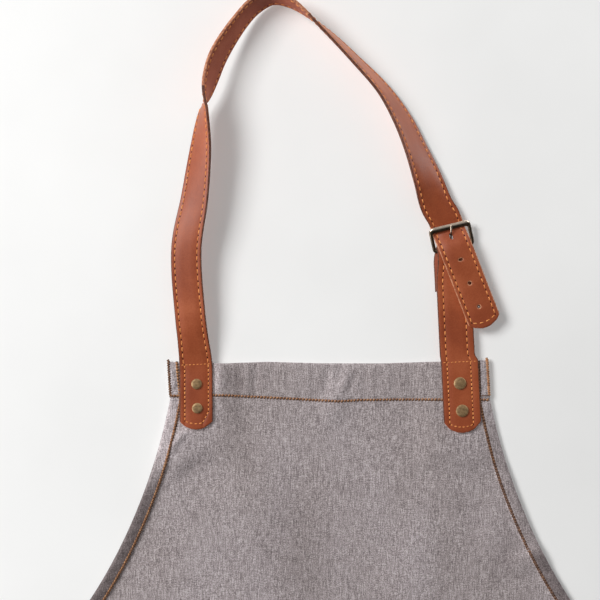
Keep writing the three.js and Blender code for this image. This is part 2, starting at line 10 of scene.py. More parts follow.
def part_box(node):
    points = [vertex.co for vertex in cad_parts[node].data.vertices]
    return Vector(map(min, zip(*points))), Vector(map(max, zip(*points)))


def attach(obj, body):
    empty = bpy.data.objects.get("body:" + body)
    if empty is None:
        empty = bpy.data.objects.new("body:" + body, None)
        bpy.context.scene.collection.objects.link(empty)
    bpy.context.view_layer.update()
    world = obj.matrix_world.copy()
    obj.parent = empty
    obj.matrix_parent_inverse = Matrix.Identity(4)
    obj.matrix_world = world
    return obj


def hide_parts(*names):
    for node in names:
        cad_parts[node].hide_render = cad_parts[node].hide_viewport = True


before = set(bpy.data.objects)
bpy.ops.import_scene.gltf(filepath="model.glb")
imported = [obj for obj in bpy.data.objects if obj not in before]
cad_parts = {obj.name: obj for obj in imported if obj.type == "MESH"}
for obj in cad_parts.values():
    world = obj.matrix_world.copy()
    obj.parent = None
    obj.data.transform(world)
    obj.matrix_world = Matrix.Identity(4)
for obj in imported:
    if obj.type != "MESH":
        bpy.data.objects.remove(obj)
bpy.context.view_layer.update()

# A bib apron of slubby grey cloth with a stitched leather neck strap, lying on a pale floor.
# Shapes are worked out in millimetres from the middle of the bib's top edge, +Y towards the neck,
# and become metres in the part's frame when a mesh is made.
MM = 0.001
BIB_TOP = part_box("apron_panel")[1].y
UP = np.array([0.0, 0.0, 1.0])
GAP = 0.3

# Cloth panel
BIB_HALF = 123.0
BIB_TOP_LEFT = 124.8
BIB_TOP_RIGHT = 121.2
PANEL_LENGTH = 820.0
ARM_START = 29.0
ARM_DEPTH = 236.0
ARM_LEAN = 0.2
ARM_SWEEP = 129.0
WAIST_DEPTH = ARM_START + ARM_DEPTH
WAIST_HALF = BIB_HALF + ARM_LEAN * ARM_DEPTH + ARM_SWEEP
SIDE_HEM = 9.3
BOTTOM_HEM = 25.0
CLOTH = 1.1
HEM = 2.2
# Depth of the top hem's seam below the bib's edge, across the bib
BAND_SEAM_X = [-125, -82, -58, -33, -8, 8, 22, 51, 86, 122]
BAND_SEAM_DEPTH = [25.2, 24.6, 26.0, 27.2, 28.6, 29.3, 28.4, 28.0, 28.0, 28.2]
# Seam that closes the band's two ends: distance from the edge, depths
BAND_END_INSET = 0.7
BAND_END = (-1.4, 25.5)
# The side seams run closer to the edge near the bib's top: depths and distances from the edge
SIDE_SEAM_DEPTHS = [0.0, 30.0, 75.0]
SIDE_SEAM_INSETS = [7.6, 8.5, 9.3]
# The seams of the band and of the arm curves have a second row of stitches beside the first
SECOND_ROW = 0.95
SEAM_END_MARGIN = 1.0
ARM_SEAM_START = 0.4
# Points of the lines that the seams follow
BAND_POINTS, BAND_END_POINTS, BAND_TURN_POINTS = 400, 80, 30
ARM_POINTS, SKIRT_POINTS, FOOT_POINTS = 900, 400, 500
# How far the bib's top edge dips or rises from a straight line
TOP_EDGE_X = [-125, -80, -48, -8, 40, 80, 122]
TOP_EDGE_RISE = [0.6, -0.6, 0.5, -0.6, -0.7, 0.6, 2.0]
TOP_EDGE_FADE = 30.0
# Rows of the panel's mesh and points of its outline: the depth reached, and in how many steps
PANEL_ROWS = [
    (0.5, 1), (1.6, 2), (22, 13), (32, 14), (70, 22), (WAIST_DEPTH, 86), (PANEL_LENGTH - 32, 66),
    (PANEL_LENGTH - 22, 9), (PANEL_LENGTH - 1.6, 9), (PANEL_LENGTH - 0.5, 2), (PANEL_LENGTH, 1),
]
OUTLINE_ROWS = [(WAIST_DEPTH - 4, 319), (WAIST_DEPTH, 79), (PANEL_LENGTH, 399)]
HEM_COLUMNS = [0.0, 0.5, 1.3, 2.6, 4.4, 6.4, 7.8, 8.6, 9.2, 9.8, 10.6, 12.0]
HEM_COLUMN_STRETCH = 3.0
INNER_COLUMNS = 144

# Relief of the sewn cloth: a hem's step inside and outside its seam, the seam's reach and depth,
# height and period of the hems' puckers, and the rolled outer edge
HEM_STEP = (0.4, 1.0)
SEAM_REACH = 0.9
SEAM_PRESS = 0.45
SIDE_PUCKER, SIDE_PUCKER_PERIOD = 0.8, 10.0
BAND_PUCKER, BAND_PUCKER_PERIOD = 0.4, 11.0
PUCKER_START = 3.0
EDGE_ROLL, EDGE_ROLL_REACH = 0.5, 1.4
# Swell of the lying cloth, and the shape of its waves and of the puckers along a hem
SWELL = 0.35
SWELL_ACROSS = {"wave": 17.0, "wander": 0.8, "over": 41.0}
SWELL_ALONG = {"wave": 26.0, "wander": 0.7, "over": 37.0}
PUCKER_WANDER = {"wander": 1.9, "over": 21.0}
PUCKER_SWING, PUCKER_SWING_WAVE = 0.4, 33.0
# The arm curves' hems stand up a little: height at the edge, reach inwards, depths of the rise
EDGE_LIFT = 2.4
EDGE_LIFT_REACH = 14.0
EDGE_LIFT_FROM = (40.0, 100.0)
EDGE_LIFT_TO = (WAIST_DEPTH - 80, WAIST_DEPTH - 20)
# Depths over which painted light rises and fades on the left hem, and painted shade darkens both hems,
# faintly at first on the right: the curled hems' light and shade are painted into the cloth's colour
LEFT_HEM_PAINTED_LIGHT = (22.0, 42.0)
LEFT_HEM_PAINTED_LIGHT_FADES = (62.0, 84.0)
LEFT_HEM_PAINTED_SHADE = (72.0, 112.0)
RIGHT_HEM_PAINTED_SHADE = (139.0, 151.0)
RIGHT_HEM_PAINTED_SHADE_STARTS = (30.0, 70.0)
RIGHT_HEM_FIRST_PAINTED_SHADE = 0.4
# Below the bib the hems' painted light and painted shade fade back to the cloth's own tone
HEM_PAINTED_SHADING_ENDS = (215.0, 300.0)
HEM_PAINTED_SHADING_STEP = (SIDE_HEM - 1.4, SIDE_HEM + 0.2)

# Soft folds that lift or press the cloth: middle, direction of the ridge, size and height
FOLDS = [
    # x, y, angle, length, half width, height
    (-113, -72, 50, 60, 13, 2.4),
    (6, -28, 64, 70, 14, 1.6),
    (-56, -110, 118, 190, 34, 1.8),
    (70, -150, 70, 200, 36, 1.8),
    (158, -148, 25, 70, 14, 2.0),
    (-190, -560, 84, 430, 52, 5.5),
    (165, -585, 97, 380, 56, 5.0),
    (6, -345, 88, 230, 48, 3.4),
    (-205, -330, 28, 150, 34, 3.2),
    (212, -338, 154, 150, 34, 3.0),
]
# Small creases of the bib, pressed no deeper than a share of the cloth's thickness
CREASE_DEEPEST = 0.9
CREASES = [
    # x, y, angle, length, half width, height
    (-116.5, -59, 53, 40, 5, 1.7),
    (-127, -78, 60, 44, 5, 0.9),
    (-84, -8, 90, 56, 7, 1.9),
    (-64, -13, 88, 46, 6, 1.0),
    (-57, -14, 88, 46, 5, -0.9),
    (-3, -14, 80, 40, 5, -0.6),
    (11, -14, 66, 44, 5, 0.9),
    (17, -16, 66, 40, 4, -0.6),
    (150, -144, 20, 26, 4, -0.9),
]
# Painted light (-) and painted shade (+) on the bib, beside its folds and creases and in broad patches
PAINTED_BIB_SHADING = [
    # x, y, angle, length, half width, amount
    (-115, -60, 58, 46, 8, -1.0),
    (-117, -61, 53, 26, 2.2, 1.4),
    (-100, -75, 42, 56, 12, 0.3),
    (-84.5, -13, 90, 44, 6, -0.8),
    (-71, -13, 90, 44, 10, 0.5),
    (-53, -14, 84, 40, 4, 0.35),
    (-30, -150, 80, 160, 60, 0.25),
    (134, -150, 75, 70, 14, 0.35),
    (118, -125, 75, 60, 10, -0.45),
]
# Level places that straps and ties are fastened to, and flat places covered by a strap
SEAT_TOP = 4.2
SEATS = [
    # x, y, half width, half length, fall
    (-102.5, -28, 17, 36, 22),
    (100.5, -29, 18, 37, 22),
    (-290, -287, 22, 20, 34),
    (290, -287, 22, 20, 34),
]
COVERED = [
    # x, y, half width, half length, fall
    (-102.5, -23, 13.5, 29, 1),
    (101.25, -24.5, 14.75, 30.5, 1),
]

# Leather straps
LEATHER = 2.2
STRAP_WIDTH = 25.4
END_ARC = 16.0
END_BLEND = 26.0
STRAP_ON_SEAT = SEAT_TOP + GAP + LEATHER / 2
STRAP_STEP = 1.6
# Rows of the mesh at a strap's ends: distance from the end, share of the thickness
TIP_ROWS = [0.0, 0.25, 0.8]
TIP_THICKNESS = [0.5, 0.82, 1.0]
FIRST_ROW = 2.0
EDGE_ROUND = 0.7
# Profile of a strap's edge: share of the rounding inwards, share of the half thickness
EDGE_PROFILE = [(0.28, 0.88), (0.0, 0.55), (0.0, -0.55), (0.28, -0.88)]
# Columns between the rows of stitches, as shares of the half width less a margin
MIDDLE_COLUMNS = (0.5, 0, -0.5)
MIDDLE_MARGIN = 6.0
# Pressed line of a stitch row: reach from its middle, share of its depth
GROOVE = [(-1.0, 0.0), (-0.45, 0.8), (0.0, 1.0), (0.45, 0.8), (1.0, 0.0)]
GROOVE_DEPTH = 0.2
# Where the rows change from a foot's insets to the strap's, around the seam across
ROWS_SHIFT = (-2.0, 4.0)
# Where the right row of the left foot slants in towards the end
FOOT_CORNER_END = 12.0
FOOT_CORNER_RUN = 7.5
ACROSS_MARGIN = 1.2

# Stitches: pitch and length, radius of the thread and of the needle holes, turn out of the seam
Stitch = namedtuple("Stitch", "pitch length radius hole turn")
STRAP_STITCH = Stitch(5.0, 3.2, 0.42, 0.66, 0)
FOOT_STITCH = Stitch(3.3, 2.2, 0.42, 0.55, 0)
ACROSS_STITCH = Stitch(2.8, 1.9, 0.34, 0.42, 0)
BAND_STITCH = Stitch(2.5, 2.0, 0.55, 0.5, 28)
SIDE_STITCH = Stitch(2.3, 2.2, 0.55, 0.66, 18)
END_STITCH = Stitch(1.8, 2.9, 0.8, 0.7, 50)
TIE_STITCH = Stitch(2.8, 2.3, 0.36, 0.4, 0)
STITCH_SIDES = 6
# One stitch: share of its length, lift and girth as shares of the thread's radius
STITCH_RINGS = [
    (-0.5, -0.5, 0.6), (-0.36, 0.3, 0.95), (0.0, 0.6, 1.05), (0.36, 0.3, 0.95), (0.5, -0.5, 0.6),
]
HOLE_LIFT = 0.06
SLANT = np.array([0.31, 0.77, 0.55])
# A row of bare needle holes beside the right foot's stitches: inset, first and last place
SPARE_ROW_INSET = 4.3
SPARE_ROW = (6.0, 51.0)
SPARE_POINTS = 60

# Buckle, in its own frame at the middle of the heel bar
BUCKLE_X = 95.05
BUCKLE_Y = 88.3
BUCKLE_TURN = math.radians(13.5)
BUCKLE_REACH = 16.5
BUCKLE_SIDE = 15.0
FRONT_CORNER = 3.0
HEEL_CORNER = 2.0
CORNER_STEPS = 12
WIRE = 1.35
WIRE_SIDES = 24
FRONT_BAR_HALF_WIDTH = 2.3
WRAP_RADIUS = WIRE + GAP + LEATHER / 2
WRAP_OUTSIDE = WRAP_RADIUS + LEATHER / 2
HEEL_HEIGHT = WRAP_OUTSIDE + 0.15
STRAP_UNDER_FRONT = 4.6
FRONT_HEIGHT = STRAP_UNDER_FRONT + LEATHER / 2 + GAP + WIRE
STRAP_OVER_HEEL = HEEL_HEIGHT + WRAP_OUTSIDE + GAP + LEATHER / 2
# The front bar's outer side is painted bright between these places as a painted highlight, and the prong's
# point is made bright between its places to a share, partly worn and partly a painted highlight
BAR_PAINTED_HIGHLIGHT = (BUCKLE_REACH + 0.1, BUCKLE_REACH + 0.9)
PRONG_POINT_WORN_AND_HIGHLIT = (10.5, 13.5)
PRONG_WEAR_AND_HIGHLIGHT = 0.55
PRONG = 0.65
PRONG_SIDES = 14
PRONG_SIDESTEP = -2.1
PRONG_LEAN = 0.2
PRONG_TIP = [0.95, 0.8, 0.45]
EYE_RADIUS = WIRE + GAP + PRONG
EYE_ANGLES = (25.0, 245.5)
EYE_STEPS = 28
SHANK_STEPS = 46
PRONG_ON_BAR = FRONT_HEIGHT + WIRE + GAP + PRONG
PRONG_PATH = [
    # y, z
    (0.0, HEEL_HEIGHT - EYE_RADIUS),
    (4.2, HEEL_HEIGHT - EYE_RADIUS + 0.4),
    (7.2, 3.5),
    (9.6, 6.5),
    (12.6, 9.0),
    (BUCKLE_REACH, PRONG_ON_BAR),
    (BUCKLE_REACH + 1.2, PRONG_ON_BAR - 0.05),
]
# Slot for the prong in the short strap, along and up
SLOT_WIDTH = 3.4
SLOT_ALONG = (-5.0, 6.0)
SLOT_UP = (-2.0, 4 * HEEL_HEIGHT)

# Punched holes of the tail, from its tip: half length along the strap and half width of each
TIP_TO_HOLE = 16.9
HOLE_PITCH = 19.3
HOLES = [(1.2, 1.2), (1.25, 1.25), (0.95, 1.6), (2.8, 1.35)]
PRONG_HOLE = 3
HOLE_CLOSING = 0.7
RIM_WIDTH = 0.75
RIM_DEPTH = 0.35
DRILL_REACH = 7.0
DRILL_SIDES = 28

# Rivets
RIVETS = [
    # node, x, y, cloth under the cap, radius of the cap
    ("rivet_left_upper", -102.3, -16.2, HEM, 4.05),
    ("rivet_left_lower", -101.8, -34.7, CLOTH, 4.05),
    ("rivet_right_upper", 99.4, -15.7, HEM, 4.8),
    ("rivet_right_lower", 101.1, -36.7, CLOTH, 4.8),
]
RIVET_RIM = 0.7
RIVET_HEIGHT = 1.7
RIVET_FLAT = 0.5
RIVET_UNDERCUT = 0.25
RIVET_BACK = 4.0
RIVET_BACK_HEIGHT = 1.2
RIVET_BACK_ROUND = 0.3
RIVET_POST = 1.5
RIVET_SIDES = 48
DOME_STEP = 6

# Waist ties: the route is that of the right one, and the left one mirrors it
TIE_WIDTH = 26.0
TIE_THICKNESS = 1.5
TIE_ROUTE = [
    (281, -284), (306, -288), (334, -318), (347, -390), (341, -500), (345, -620), (336, -735), (343, -850),
]
TIE_WAVE = 0.9
TIE_WAVE_STRETCH = 19
TIE_WAVE_STARTS = (60, 110)
TIE_INSET = 2.2
TIE_STEP = 4.0

# Camera: straight above, the picture's 600 pixels span 462 mm of the floor
PICTURE_SPAN = 462.0
PICTURE_MIDDLE = (-23.1, 48.1)
CAMERA_HEIGHT = 1300.0
SENSOR = 36.0
# Floor and light, in metres and watts
FLOOR_HALF = 6.0
FLOOR_DROP = 0.0002
SKY_STRENGTH = 0.15
LAMPS = [
    # name, place from the picture's middle, size, power, casts a shadow
    ("key", (-1.86, 1.1, 2.08), (1.25, 1.25), 79, True),
    ("left", (-2.2, -0.6, 0.55), (1.5, 0.7), 46, False),
    ("right", (1.55, 1.6, 0.36), (3.0, 0.7), 46, False),
]


def smooth(value, low, high):
    share = np.clip((np.asarray(value, float) - low) / (high - low), 0, 1)
    return share * share * (3 - 2 * share)


def lerp(first, second, share):
    return first + (second - first) * share


def unit(vectors):
    return vectors / np.linalg.norm(vectors, axis=-1, keepdims=True)


def circle(sides):
    return np.linspace(0, 2 * math.pi, sides, endpoint=False)


def turned(x, y, angle):
    """Two coordinates or directions turned by an angle in radians"""
    cos, sin = np.cos(angle), np.sin(angle)
    return x * cos - y * sin, x * sin + y * cos


def on_buckle(x, y):
    across, along = turned(x, y, BUCKLE_TURN)
    return BUCKLE_X + across, BUCKLE_Y + along


# Meshes

def grid_faces(rows, columns, closed_rows=False, closed_columns=False):
    """Quads between neighbouring points of a grid"""
    row = np.arange(rows if closed_rows else rows - 1)
    column = np.arange(columns if closed_columns else columns - 1)
    r, c = np.meshgrid(row, column, indexing="ij")
    r_next, c_next = (r + 1) % rows, (c + 1) % columns
    corners = [r * columns + c, r_next * columns + c, r_next * columns + c_next, r * columns + c_next]
    return np.stack(corners, -1).reshape(-1, 4)


def new_object(name, data):
    made = bpy.data.objects.new(name, data)
    bpy.context.scene.collection.objects.link(made)
    return made


def piece(name, points, faces, materials, slots=None, angle=40):
    """An object of a closed mesh from points in millimetres; slots gives each face's material"""
    mesh = bpy.data.meshes.new(name)
    placed = np.asarray(points, float).reshape(-1, 3) * MM + np.array([0, BIB_TOP, 0])
    mesh.from_pydata(placed.tolist(), [], [[int(corner) for corner in face] for face in faces])
    for material in materials:
        mesh.materials.append(material)
    if slots is not None:
        mesh.polygons.foreach_set("material_index", np.asarray(slots, np.int32))
    shell = bmesh.new()
    shell.from_mesh(mesh)
    bmesh.ops.recalc_face_normals(shell, faces=shell.faces)
    shell.to_mesh(mesh)
    shell.free()
    mesh.shade_smooth()
    mesh.set_sharp_from_angle(angle=math.radians(angle))
    return new_object(name, mesh)


def point_values(made, name, values):
    """Gives each point of a mesh a number that its material reads"""
    attribute = made.data.attributes.new(name, "FLOAT", "POINT")
    attribute.data.foreach_set("value", np.asarray(values, np.float32))


def cut(target, cutter, angle=40):
    """The target's mesh without the cutter, which is used up"""
    modifier = target.modifiers.new("cut", "BOOLEAN")
    modifier.operation = "DIFFERENCE"
    modifier.solver = "EXACT"
    modifier.object = cutter
    bpy.context.view_layer.update()
    shown = target.evaluated_get(bpy.context.evaluated_depsgraph_get())
    old, target.data = target.data, bpy.data.meshes.new_from_object(shown)
    target.modifiers.clear()
    bpy.data.meshes.remove(old)
    bpy.data.objects.remove(cutter)
    target.data.set_sharp_from_angle(angle=math.radians(angle))


class Bundle:
    """Points and faces of many small closed bodies that become one piece"""

    def __init__(self):
        self.points, self.faces, self.slots, self.count = [], [], [], 0

    def add(self, bodies, faces, slot=0):
        """bodies has the points of each body; faces is the same for all"""
        for body in np.asarray(bodies, float):
            self.points.append(body)
            self.faces += [[corner + self.count for corner in face] for face in faces]
            self.slots += list(np.broadcast_to(slot, len(faces)))
            self.count += len(body)

    def piece(self, name, materials, angle=60):
        return piece(name, np.concatenate(self.points), self.faces, materials, self.slots, angle)


def tube_points(line, side, up, radius, sides):
    """Rings of a round wire; side and up are the directions across each ring"""
    angle = circle(sides)[:, None]
    radius = np.broadcast_to(radius, (len(line),))[:, None, None]
    across = np.cos(angle) * side[:, None, :] + np.sin(angle) * up[:, None, :]
    return line[:, None, :] + radius * across


def tube_faces(rows, sides, closed):
    faces = grid_faces(rows, sides, closed_rows=closed, closed_columns=True).tolist()
    if not closed:
        faces += [list(range(sides)), list(range((rows - 1) * sides, rows * sides))]
    return faces


# Routes

class Path:
    """A line through points, by distance along it"""

    def __init__(self, points):
        self.points = np.asarray(points, float)
        steps = np.linalg.norm(np.diff(self.points, axis=0), axis=1)
        self.distance = np.concatenate([[0], np.cumsum(steps)])
        self.length = self.distance[-1]

    def at(self, values, distance):
        """What values given at the points are at the distances"""
        columns = values.reshape(len(values), -1).T
        found = np.stack([np.interp(distance, self.distance, column) for column in columns], -1)
        return found if values.ndim > 1 else found[..., 0]


def hermite(start, end, leave, arrive, u):
    u2, u3 = u * u, u * u * u
    at_start, at_end = 2 * u3 - 3 * u2 + 1, 3 * u2 - 2 * u3
    return at_start * start + (u3 - 2 * u2 + u) * leave + at_end * end + (u3 - u2) * arrive


class Route(Path):
    """A centripetal curve through points, with a roll at each"""

    STEPS = 60

    def __init__(self, points, rolls=None):
        points = np.asarray(points, float)
        t = np.linspace(0, len(points) - 1, (len(points) - 1) * self.STEPS + 1)
        part = np.minimum(t.astype(int), len(points) - 2)
        u = (t - part)[:, None]
        line = np.vstack([2 * points[0] - points[1], points, 2 * points[-1] - points[-2]])
        p0, p1, p2, p3 = (line[part + k] for k in range(4))
        pairs = ((p0, p1), (p1, p2), (p2, p3))
        d0, d1, d2 = (np.sqrt(np.linalg.norm(b - a, axis=1))[:, None] for a, b in pairs)
        leave = ((p1 - p0) / d0 - (p2 - p0) / (d0 + d1) + (p2 - p1) / d1) * d1
        arrive = ((p2 - p1) / d1 - (p3 - p1) / (d1 + d2) + (p3 - p2) / d2) * d1
        super().__init__(hermite(p1, p2, leave, arrive, u))
        self.tangents = unit(np.gradient(self.points, self.distance, axis=0))
        if rolls is not None:
            ends = np.radians(np.concatenate([rolls[:1], rolls, rolls[-1:]]))
            r0, r1, r2, r3 = (ends[part + k] for k in range(4))
            self.rolls = hermite(r1, r2, (r2 - r0) / 2, (r3 - r1) / 2, u[:, 0])

    def ahead(self, distance):
        """Places on the route and directions along it"""
        return self.at(self.points, distance), unit(self.at(self.tangents, distance))


# Straps: the insets of their two rows of stitches are those of the left and the right row

class NeckStrap:
    """The long strap: riveted foot on the left, loop, punched tail on the right"""

    thickness = LEATHER
    rounded = (True, True)
    seam = 50.0
    end_row = 4.5
    foot_insets = (4.1, 3.2)
    insets = (3.1, 3.1)
    foot_corner = 4.5
    # Stretches whose cut edge has dark edge paint; elsewhere the pale edge stands as a painted highlight
    dark_edges = [(0, 262), (385, 575)]
    STATIONS = [
        # x, y, z, roll
        (-102.6, -51.2, STRAP_ON_SEAT, 0),
        (-102.7, -26, STRAP_ON_SEAT, 0),
        (-103, 0, STRAP_ON_SEAT + 0.3, 0),
        (-104.5, 15, 9.5, 2),
        (-106.6, 35, 13.5, 8),
        (-109.4, 87, 18, 12),
        (-103, 125.7, 20, 28),
        (-98.5, 162.8, 21, 47),
        (-96.2, 192, 21, 73),
        (-93.9, 203.8, 20.6, 100),
        (-91, 216.4, 20, 114),
        (-84.8, 234, 18.5, 119),
        (-68.4, 260.2, 15.4, 113),
        (-57, 272.6, 14, 111),
        (-44, 278.8, 13.4, 106),
        (-29.5, 274.4, 13.5, 96),
        (-3.7, 253.8, 13.6, 78),
        (19.5, 231.1, 13.6, 70.5),
        (40.9, 208.1, 13, 63.5),
        (55.4, 185.3, 12.4, 53.5),
        (65.8, 162.5, 11.2, 44.5),
        (74.8, 139.8, 9, 27),
        (81.5, 120.9, 6.4, 8),
        (*on_buckle(-2.1, BUCKLE_REACH + 7), 5.2, 2),
        (*on_buckle(-1.1, BUCKLE_REACH - 2.4), STRAP_UNDER_FRONT - GAP, 0),
        (*on_buckle(0.6, 1.4), STRAP_OVER_HEEL + 0.1, 0),
        (107.8, 58, STRAP_OVER_HEEL - 0.1, 0),
        (119.8, 27.3, STRAP_OVER_HEEL - 0.6, 0),
    ]
    # Width of its left leg, and where the strap narrows to it and widens again
    LEG_WIDTH = 23.6
    NARROWS = (46.0, 76.0)
    WIDENS = (270.0, 450.0)

    def __init__(self):
        stations = np.array(self.STATIONS, float)
        self.route = Route(stations[:, :3], stations[:, 3])
        self.length = self.route.length

    def half(self, base):
        narrowed = smooth(base, *self.NARROWS) - smooth(base, *self.WIDENS)
        return lerp(STRAP_WIDTH, self.LEG_WIDTH, narrowed) / 2

    def frame(self, distance):
        """Middle point, direction across, direction out of the face and direction along"""
        point, along = self.route.ahead(distance)
        roll = self.route.at(self.route.rolls, distance)[..., None]
        right = unit(np.cross(along, UP))
        across, face = turned(right, np.cross(right, along), -roll)
        return point, across, face, along


class BuckleStrap:
    """The short strap: riveted foot on the right, round the heel bar and back under itself"""

    thickness = LEATHER
    rounded = (True, False)
    seam = 54.5
    end_row = 4.5
    foot_insets = (4.6, 6.0)
    insets = (4.8, 5.5)
    foot_corner = 0.0
    dark_edges = [(0, 400)]
    FOOT = np.array([101.9, -53.8, 0.0])
    FOOT_WIDTH = 28.6
    FOOT_STEP = 6.0
    WIDTH = 26.8
    WRAP_WIDTH = 25.2
    NARROWING = 26.0
    SHIFT = -1.5
    WRAP_SHIFT = -0.4
    WRAP_MARGIN = 6.0
    WRAP_STEP = 22.5
    LEAN_FROM = 0.5
    LEAN_MARGIN = 8.0
    TURNED_BACK = 31.0
    TURNED_BACK_SHIFT = -2.9
    TURNED_BACK_SHIFT_END = 18.0
    TURNED_BACK_HEIGHT = 2.6

    def __init__(self):
        run = np.array([BUCKLE_X, BUCKLE_Y, 0.0]) - self.FOOT
        self.heel = np.linalg.norm(run)
        self.forward = run / self.heel
        self.right = np.cross(self.forward, UP)
        self.skew = math.tan(BUCKLE_TURN - math.atan2(-self.forward[0], self.forward[1]))
        turns = np.radians(np.arange(90, -91, -self.WRAP_STEP))
        round_bar = WRAP_RADIUS * np.stack([np.cos(turns), np.sin(turns)], -1)
        line = [
            # distance from the foot, height
            (0, STRAP_ON_SEAT),
            (self.heel * 0.2, STRAP_ON_SEAT),
            (self.heel * 0.4, STRAP_ON_SEAT),
            (self.heel * 0.65, STRAP_ON_SEAT - 0.2),
            (self.heel - 14, HEEL_HEIGHT + WRAP_RADIUS - 0.4),
            (self.heel - 5, HEEL_HEIGHT + WRAP_RADIUS),
            *(round_bar + (self.heel, HEEL_HEIGHT)),
            (self.heel - 5, HEEL_HEIGHT - WRAP_RADIUS + 0.1),
            (self.heel - 16, self.TURNED_BACK_HEIGHT),
            (self.heel - self.TURNED_BACK, self.TURNED_BACK_HEIGHT),
        ]
        self.route = Route([(0, along, z) for along, z in line])
        self.length = self.route.length

    def above_foot(self, distance):
        return smooth(distance, self.seam, self.seam + self.FOOT_STEP)

    def at_heel(self, distance):
        return smooth(distance, self.heel - self.NARROWING, self.heel - self.WRAP_MARGIN)

    def half(self, base):
        width = lerp(self.FOOT_WIDTH, self.WIDTH, self.above_foot(base))
        return lerp(width, self.WRAP_WIDTH, self.at_heel(base)) / 2

    def frame(self, distance):
        place, slope = self.route.ahead(distance)
        shift = lerp(self.SHIFT * self.above_foot(distance), self.WRAP_SHIFT, self.at_heel(distance))
        beyond = smooth(distance, self.heel, self.heel + self.TURNED_BACK_SHIFT_END)
        sideways = (shift + self.TURNED_BACK_SHIFT * beyond)[..., None]
        leaning = smooth(distance, self.LEAN_FROM * self.heel, self.heel - self.LEAN_MARGIN)[..., None]
        along = slope[..., 1:2] * self.forward + slope[..., 2:3] * UP
        point = self.FOOT + place[..., 1:2] * self.forward + place[..., 2:3] * UP + sideways * self.right
        across = self.right + self.skew * leaning * self.forward
        return point, across, np.cross(np.broadcast_to(self.right, along.shape), along), along


class Tie:
    """A flat cloth tie on the floor beside the skirt; side is -1 on the left and 1 on the right"""

    thickness = TIE_THICKNESS
    rounded = (False, False)
    seam = 0.0
    foot_insets = insets = (TIE_INSET, TIE_INSET)
    foot_corner = 0.0
    dark_edges = []

    def __init__(self, side):
        self.route = Route([(side * x, y, TIE_THICKNESS / 2) for x, y in TIE_ROUTE])
        self.length = self.route.length

    def half(self, base):
        return np.full(np.shape(base), TIE_WIDTH / 2)

    def frame(self, distance):
        point, along = self.route.ahead(distance)
        wave = TIE_WAVE * (1 - np.cos(distance / TIE_WAVE_STRETCH))
        lift = (wave * smooth(distance, *TIE_WAVE_STARTS))[..., None]
        return point + lift * UP, np.cross(along, UP), np.broadcast_to(UP, along.shape), along


def strap_place(strap, base, offset):
    """A place in the middle of a strap's wall, with its directions across, outwards and along"""
    base, offset = np.broadcast_arrays(np.asarray(base, float), np.asarray(offset, float))
    arc = END_ARC - np.sqrt(END_ARC ** 2 - offset ** 2)
    start = np.maximum(0, 1 - base / END_BLEND) * strap.rounded[0]
    end = np.maximum(0, 1 - (strap.length - base) / END_BLEND) * strap.rounded[1]
    point, across, face, along = strap.frame(base + arc * (start - end))
    return point + across * offset[..., None], across, face, along


def row_inset(strap, base, right):
    """Distance of a row of stitches from the strap's edge"""
    near_foot = 1 - smooth(base, strap.seam + ROWS_SHIFT[0], strap.seam + ROWS_SHIFT[1])
    slanted = strap.foot_corner * right * np.clip((FOOT_CORNER_END - base) / FOOT_CORNER_RUN, 0, 1)
    return lerp(strap.insets[right], strap.foot_insets[right], near_foot) + slanted


# Material slots of a leather strap
FACE, EDGE, HOLE, BACK, DARK_EDGE = range(5)


def strap_mesh(strap, name, materials, step):
    """A strap with rounded edges and a pressed line under each row of stitches"""
    tips = np.array(TIP_ROWS)
    inner = np.linspace(FIRST_ROW, strap.length - FIRST_ROW, int(strap.length / step))
    base = np.concatenate([tips, inner, strap.length - tips[::-1]])
    thinning = np.interp(np.minimum(base, strap.length - base), tips, TIP_THICKNESS)
    half = strap.half(base)
    wall = strap.thickness / 2
    left, right = (row_inset(strap, base, side) for side in (0, 1))
    columns = [(half - EDGE_ROUND, 0)]
    columns += [(half - right - reach, depth) for reach, depth in GROOVE]
    columns += [((half - MIDDLE_MARGIN) * share, 0) for share in MIDDLE_COLUMNS]
    columns += [(left + reach - half, depth) for reach, depth in GROOVE[::-1]]
    columns += [(EDGE_ROUND - half, 0)]
    top = [(offset, wall - GROOVE_DEPTH * depth) for offset, depth in columns]
    bottom = [(offset, -height) for offset, height in top][::-1]
    left_edge = [(EDGE_ROUND * inwards - half, wall * share) for inwards, share in EDGE_PROFILE]
    right_edge = [(-offset, height) for offset, height in left_edge][::-1]
    ring = top + left_edge + bottom + right_edge
    offsets = np.stack([np.broadcast_to(offset, base.shape) for offset, _ in ring], 1)
    heights = np.array([height for _, height in ring]) * thinning[:, None]
    middle, _, face, _ = strap_place(strap, base[:, None], offsets)
    points = middle + face * heights[..., None]

    rows, count = offsets.shape
    flat, rim = len(top), len(left_edge)
    around = np.repeat([FACE, EDGE, BACK, EDGE], [flat - 1, rim + 1, flat - 1, rim + 1])
    faces = grid_faces(rows, count, closed_columns=True).tolist()
    dark = np.zeros(rows - 1, bool)
    for low, high in strap.dark_edges:
        dark |= (base[1:] > low) & (base[:-1] < high)
    slots = np.where(dark[:, None] & (around == EDGE), DARK_EDGE, around).reshape(-1).tolist()
    for first in (0, (rows - 1) * count):
        upper = first + np.arange(flat)
        lower = first + flat + rim + np.arange(flat)[::-1]
        caps = [[upper[k], upper[k + 1], lower[k + 1], lower[k]] for k in range(flat - 1)]
        caps.append([upper[-1], *(first + flat + np.arange(rim)), lower[-1]])
        caps.append([lower[0], *(first + 2 * flat + rim + np.arange(rim)), upper[0]])
        faces += caps
        slots += [EDGE] * len(caps)
    return piece(name, points, faces, materials, np.minimum(slots, len(materials) - 1))


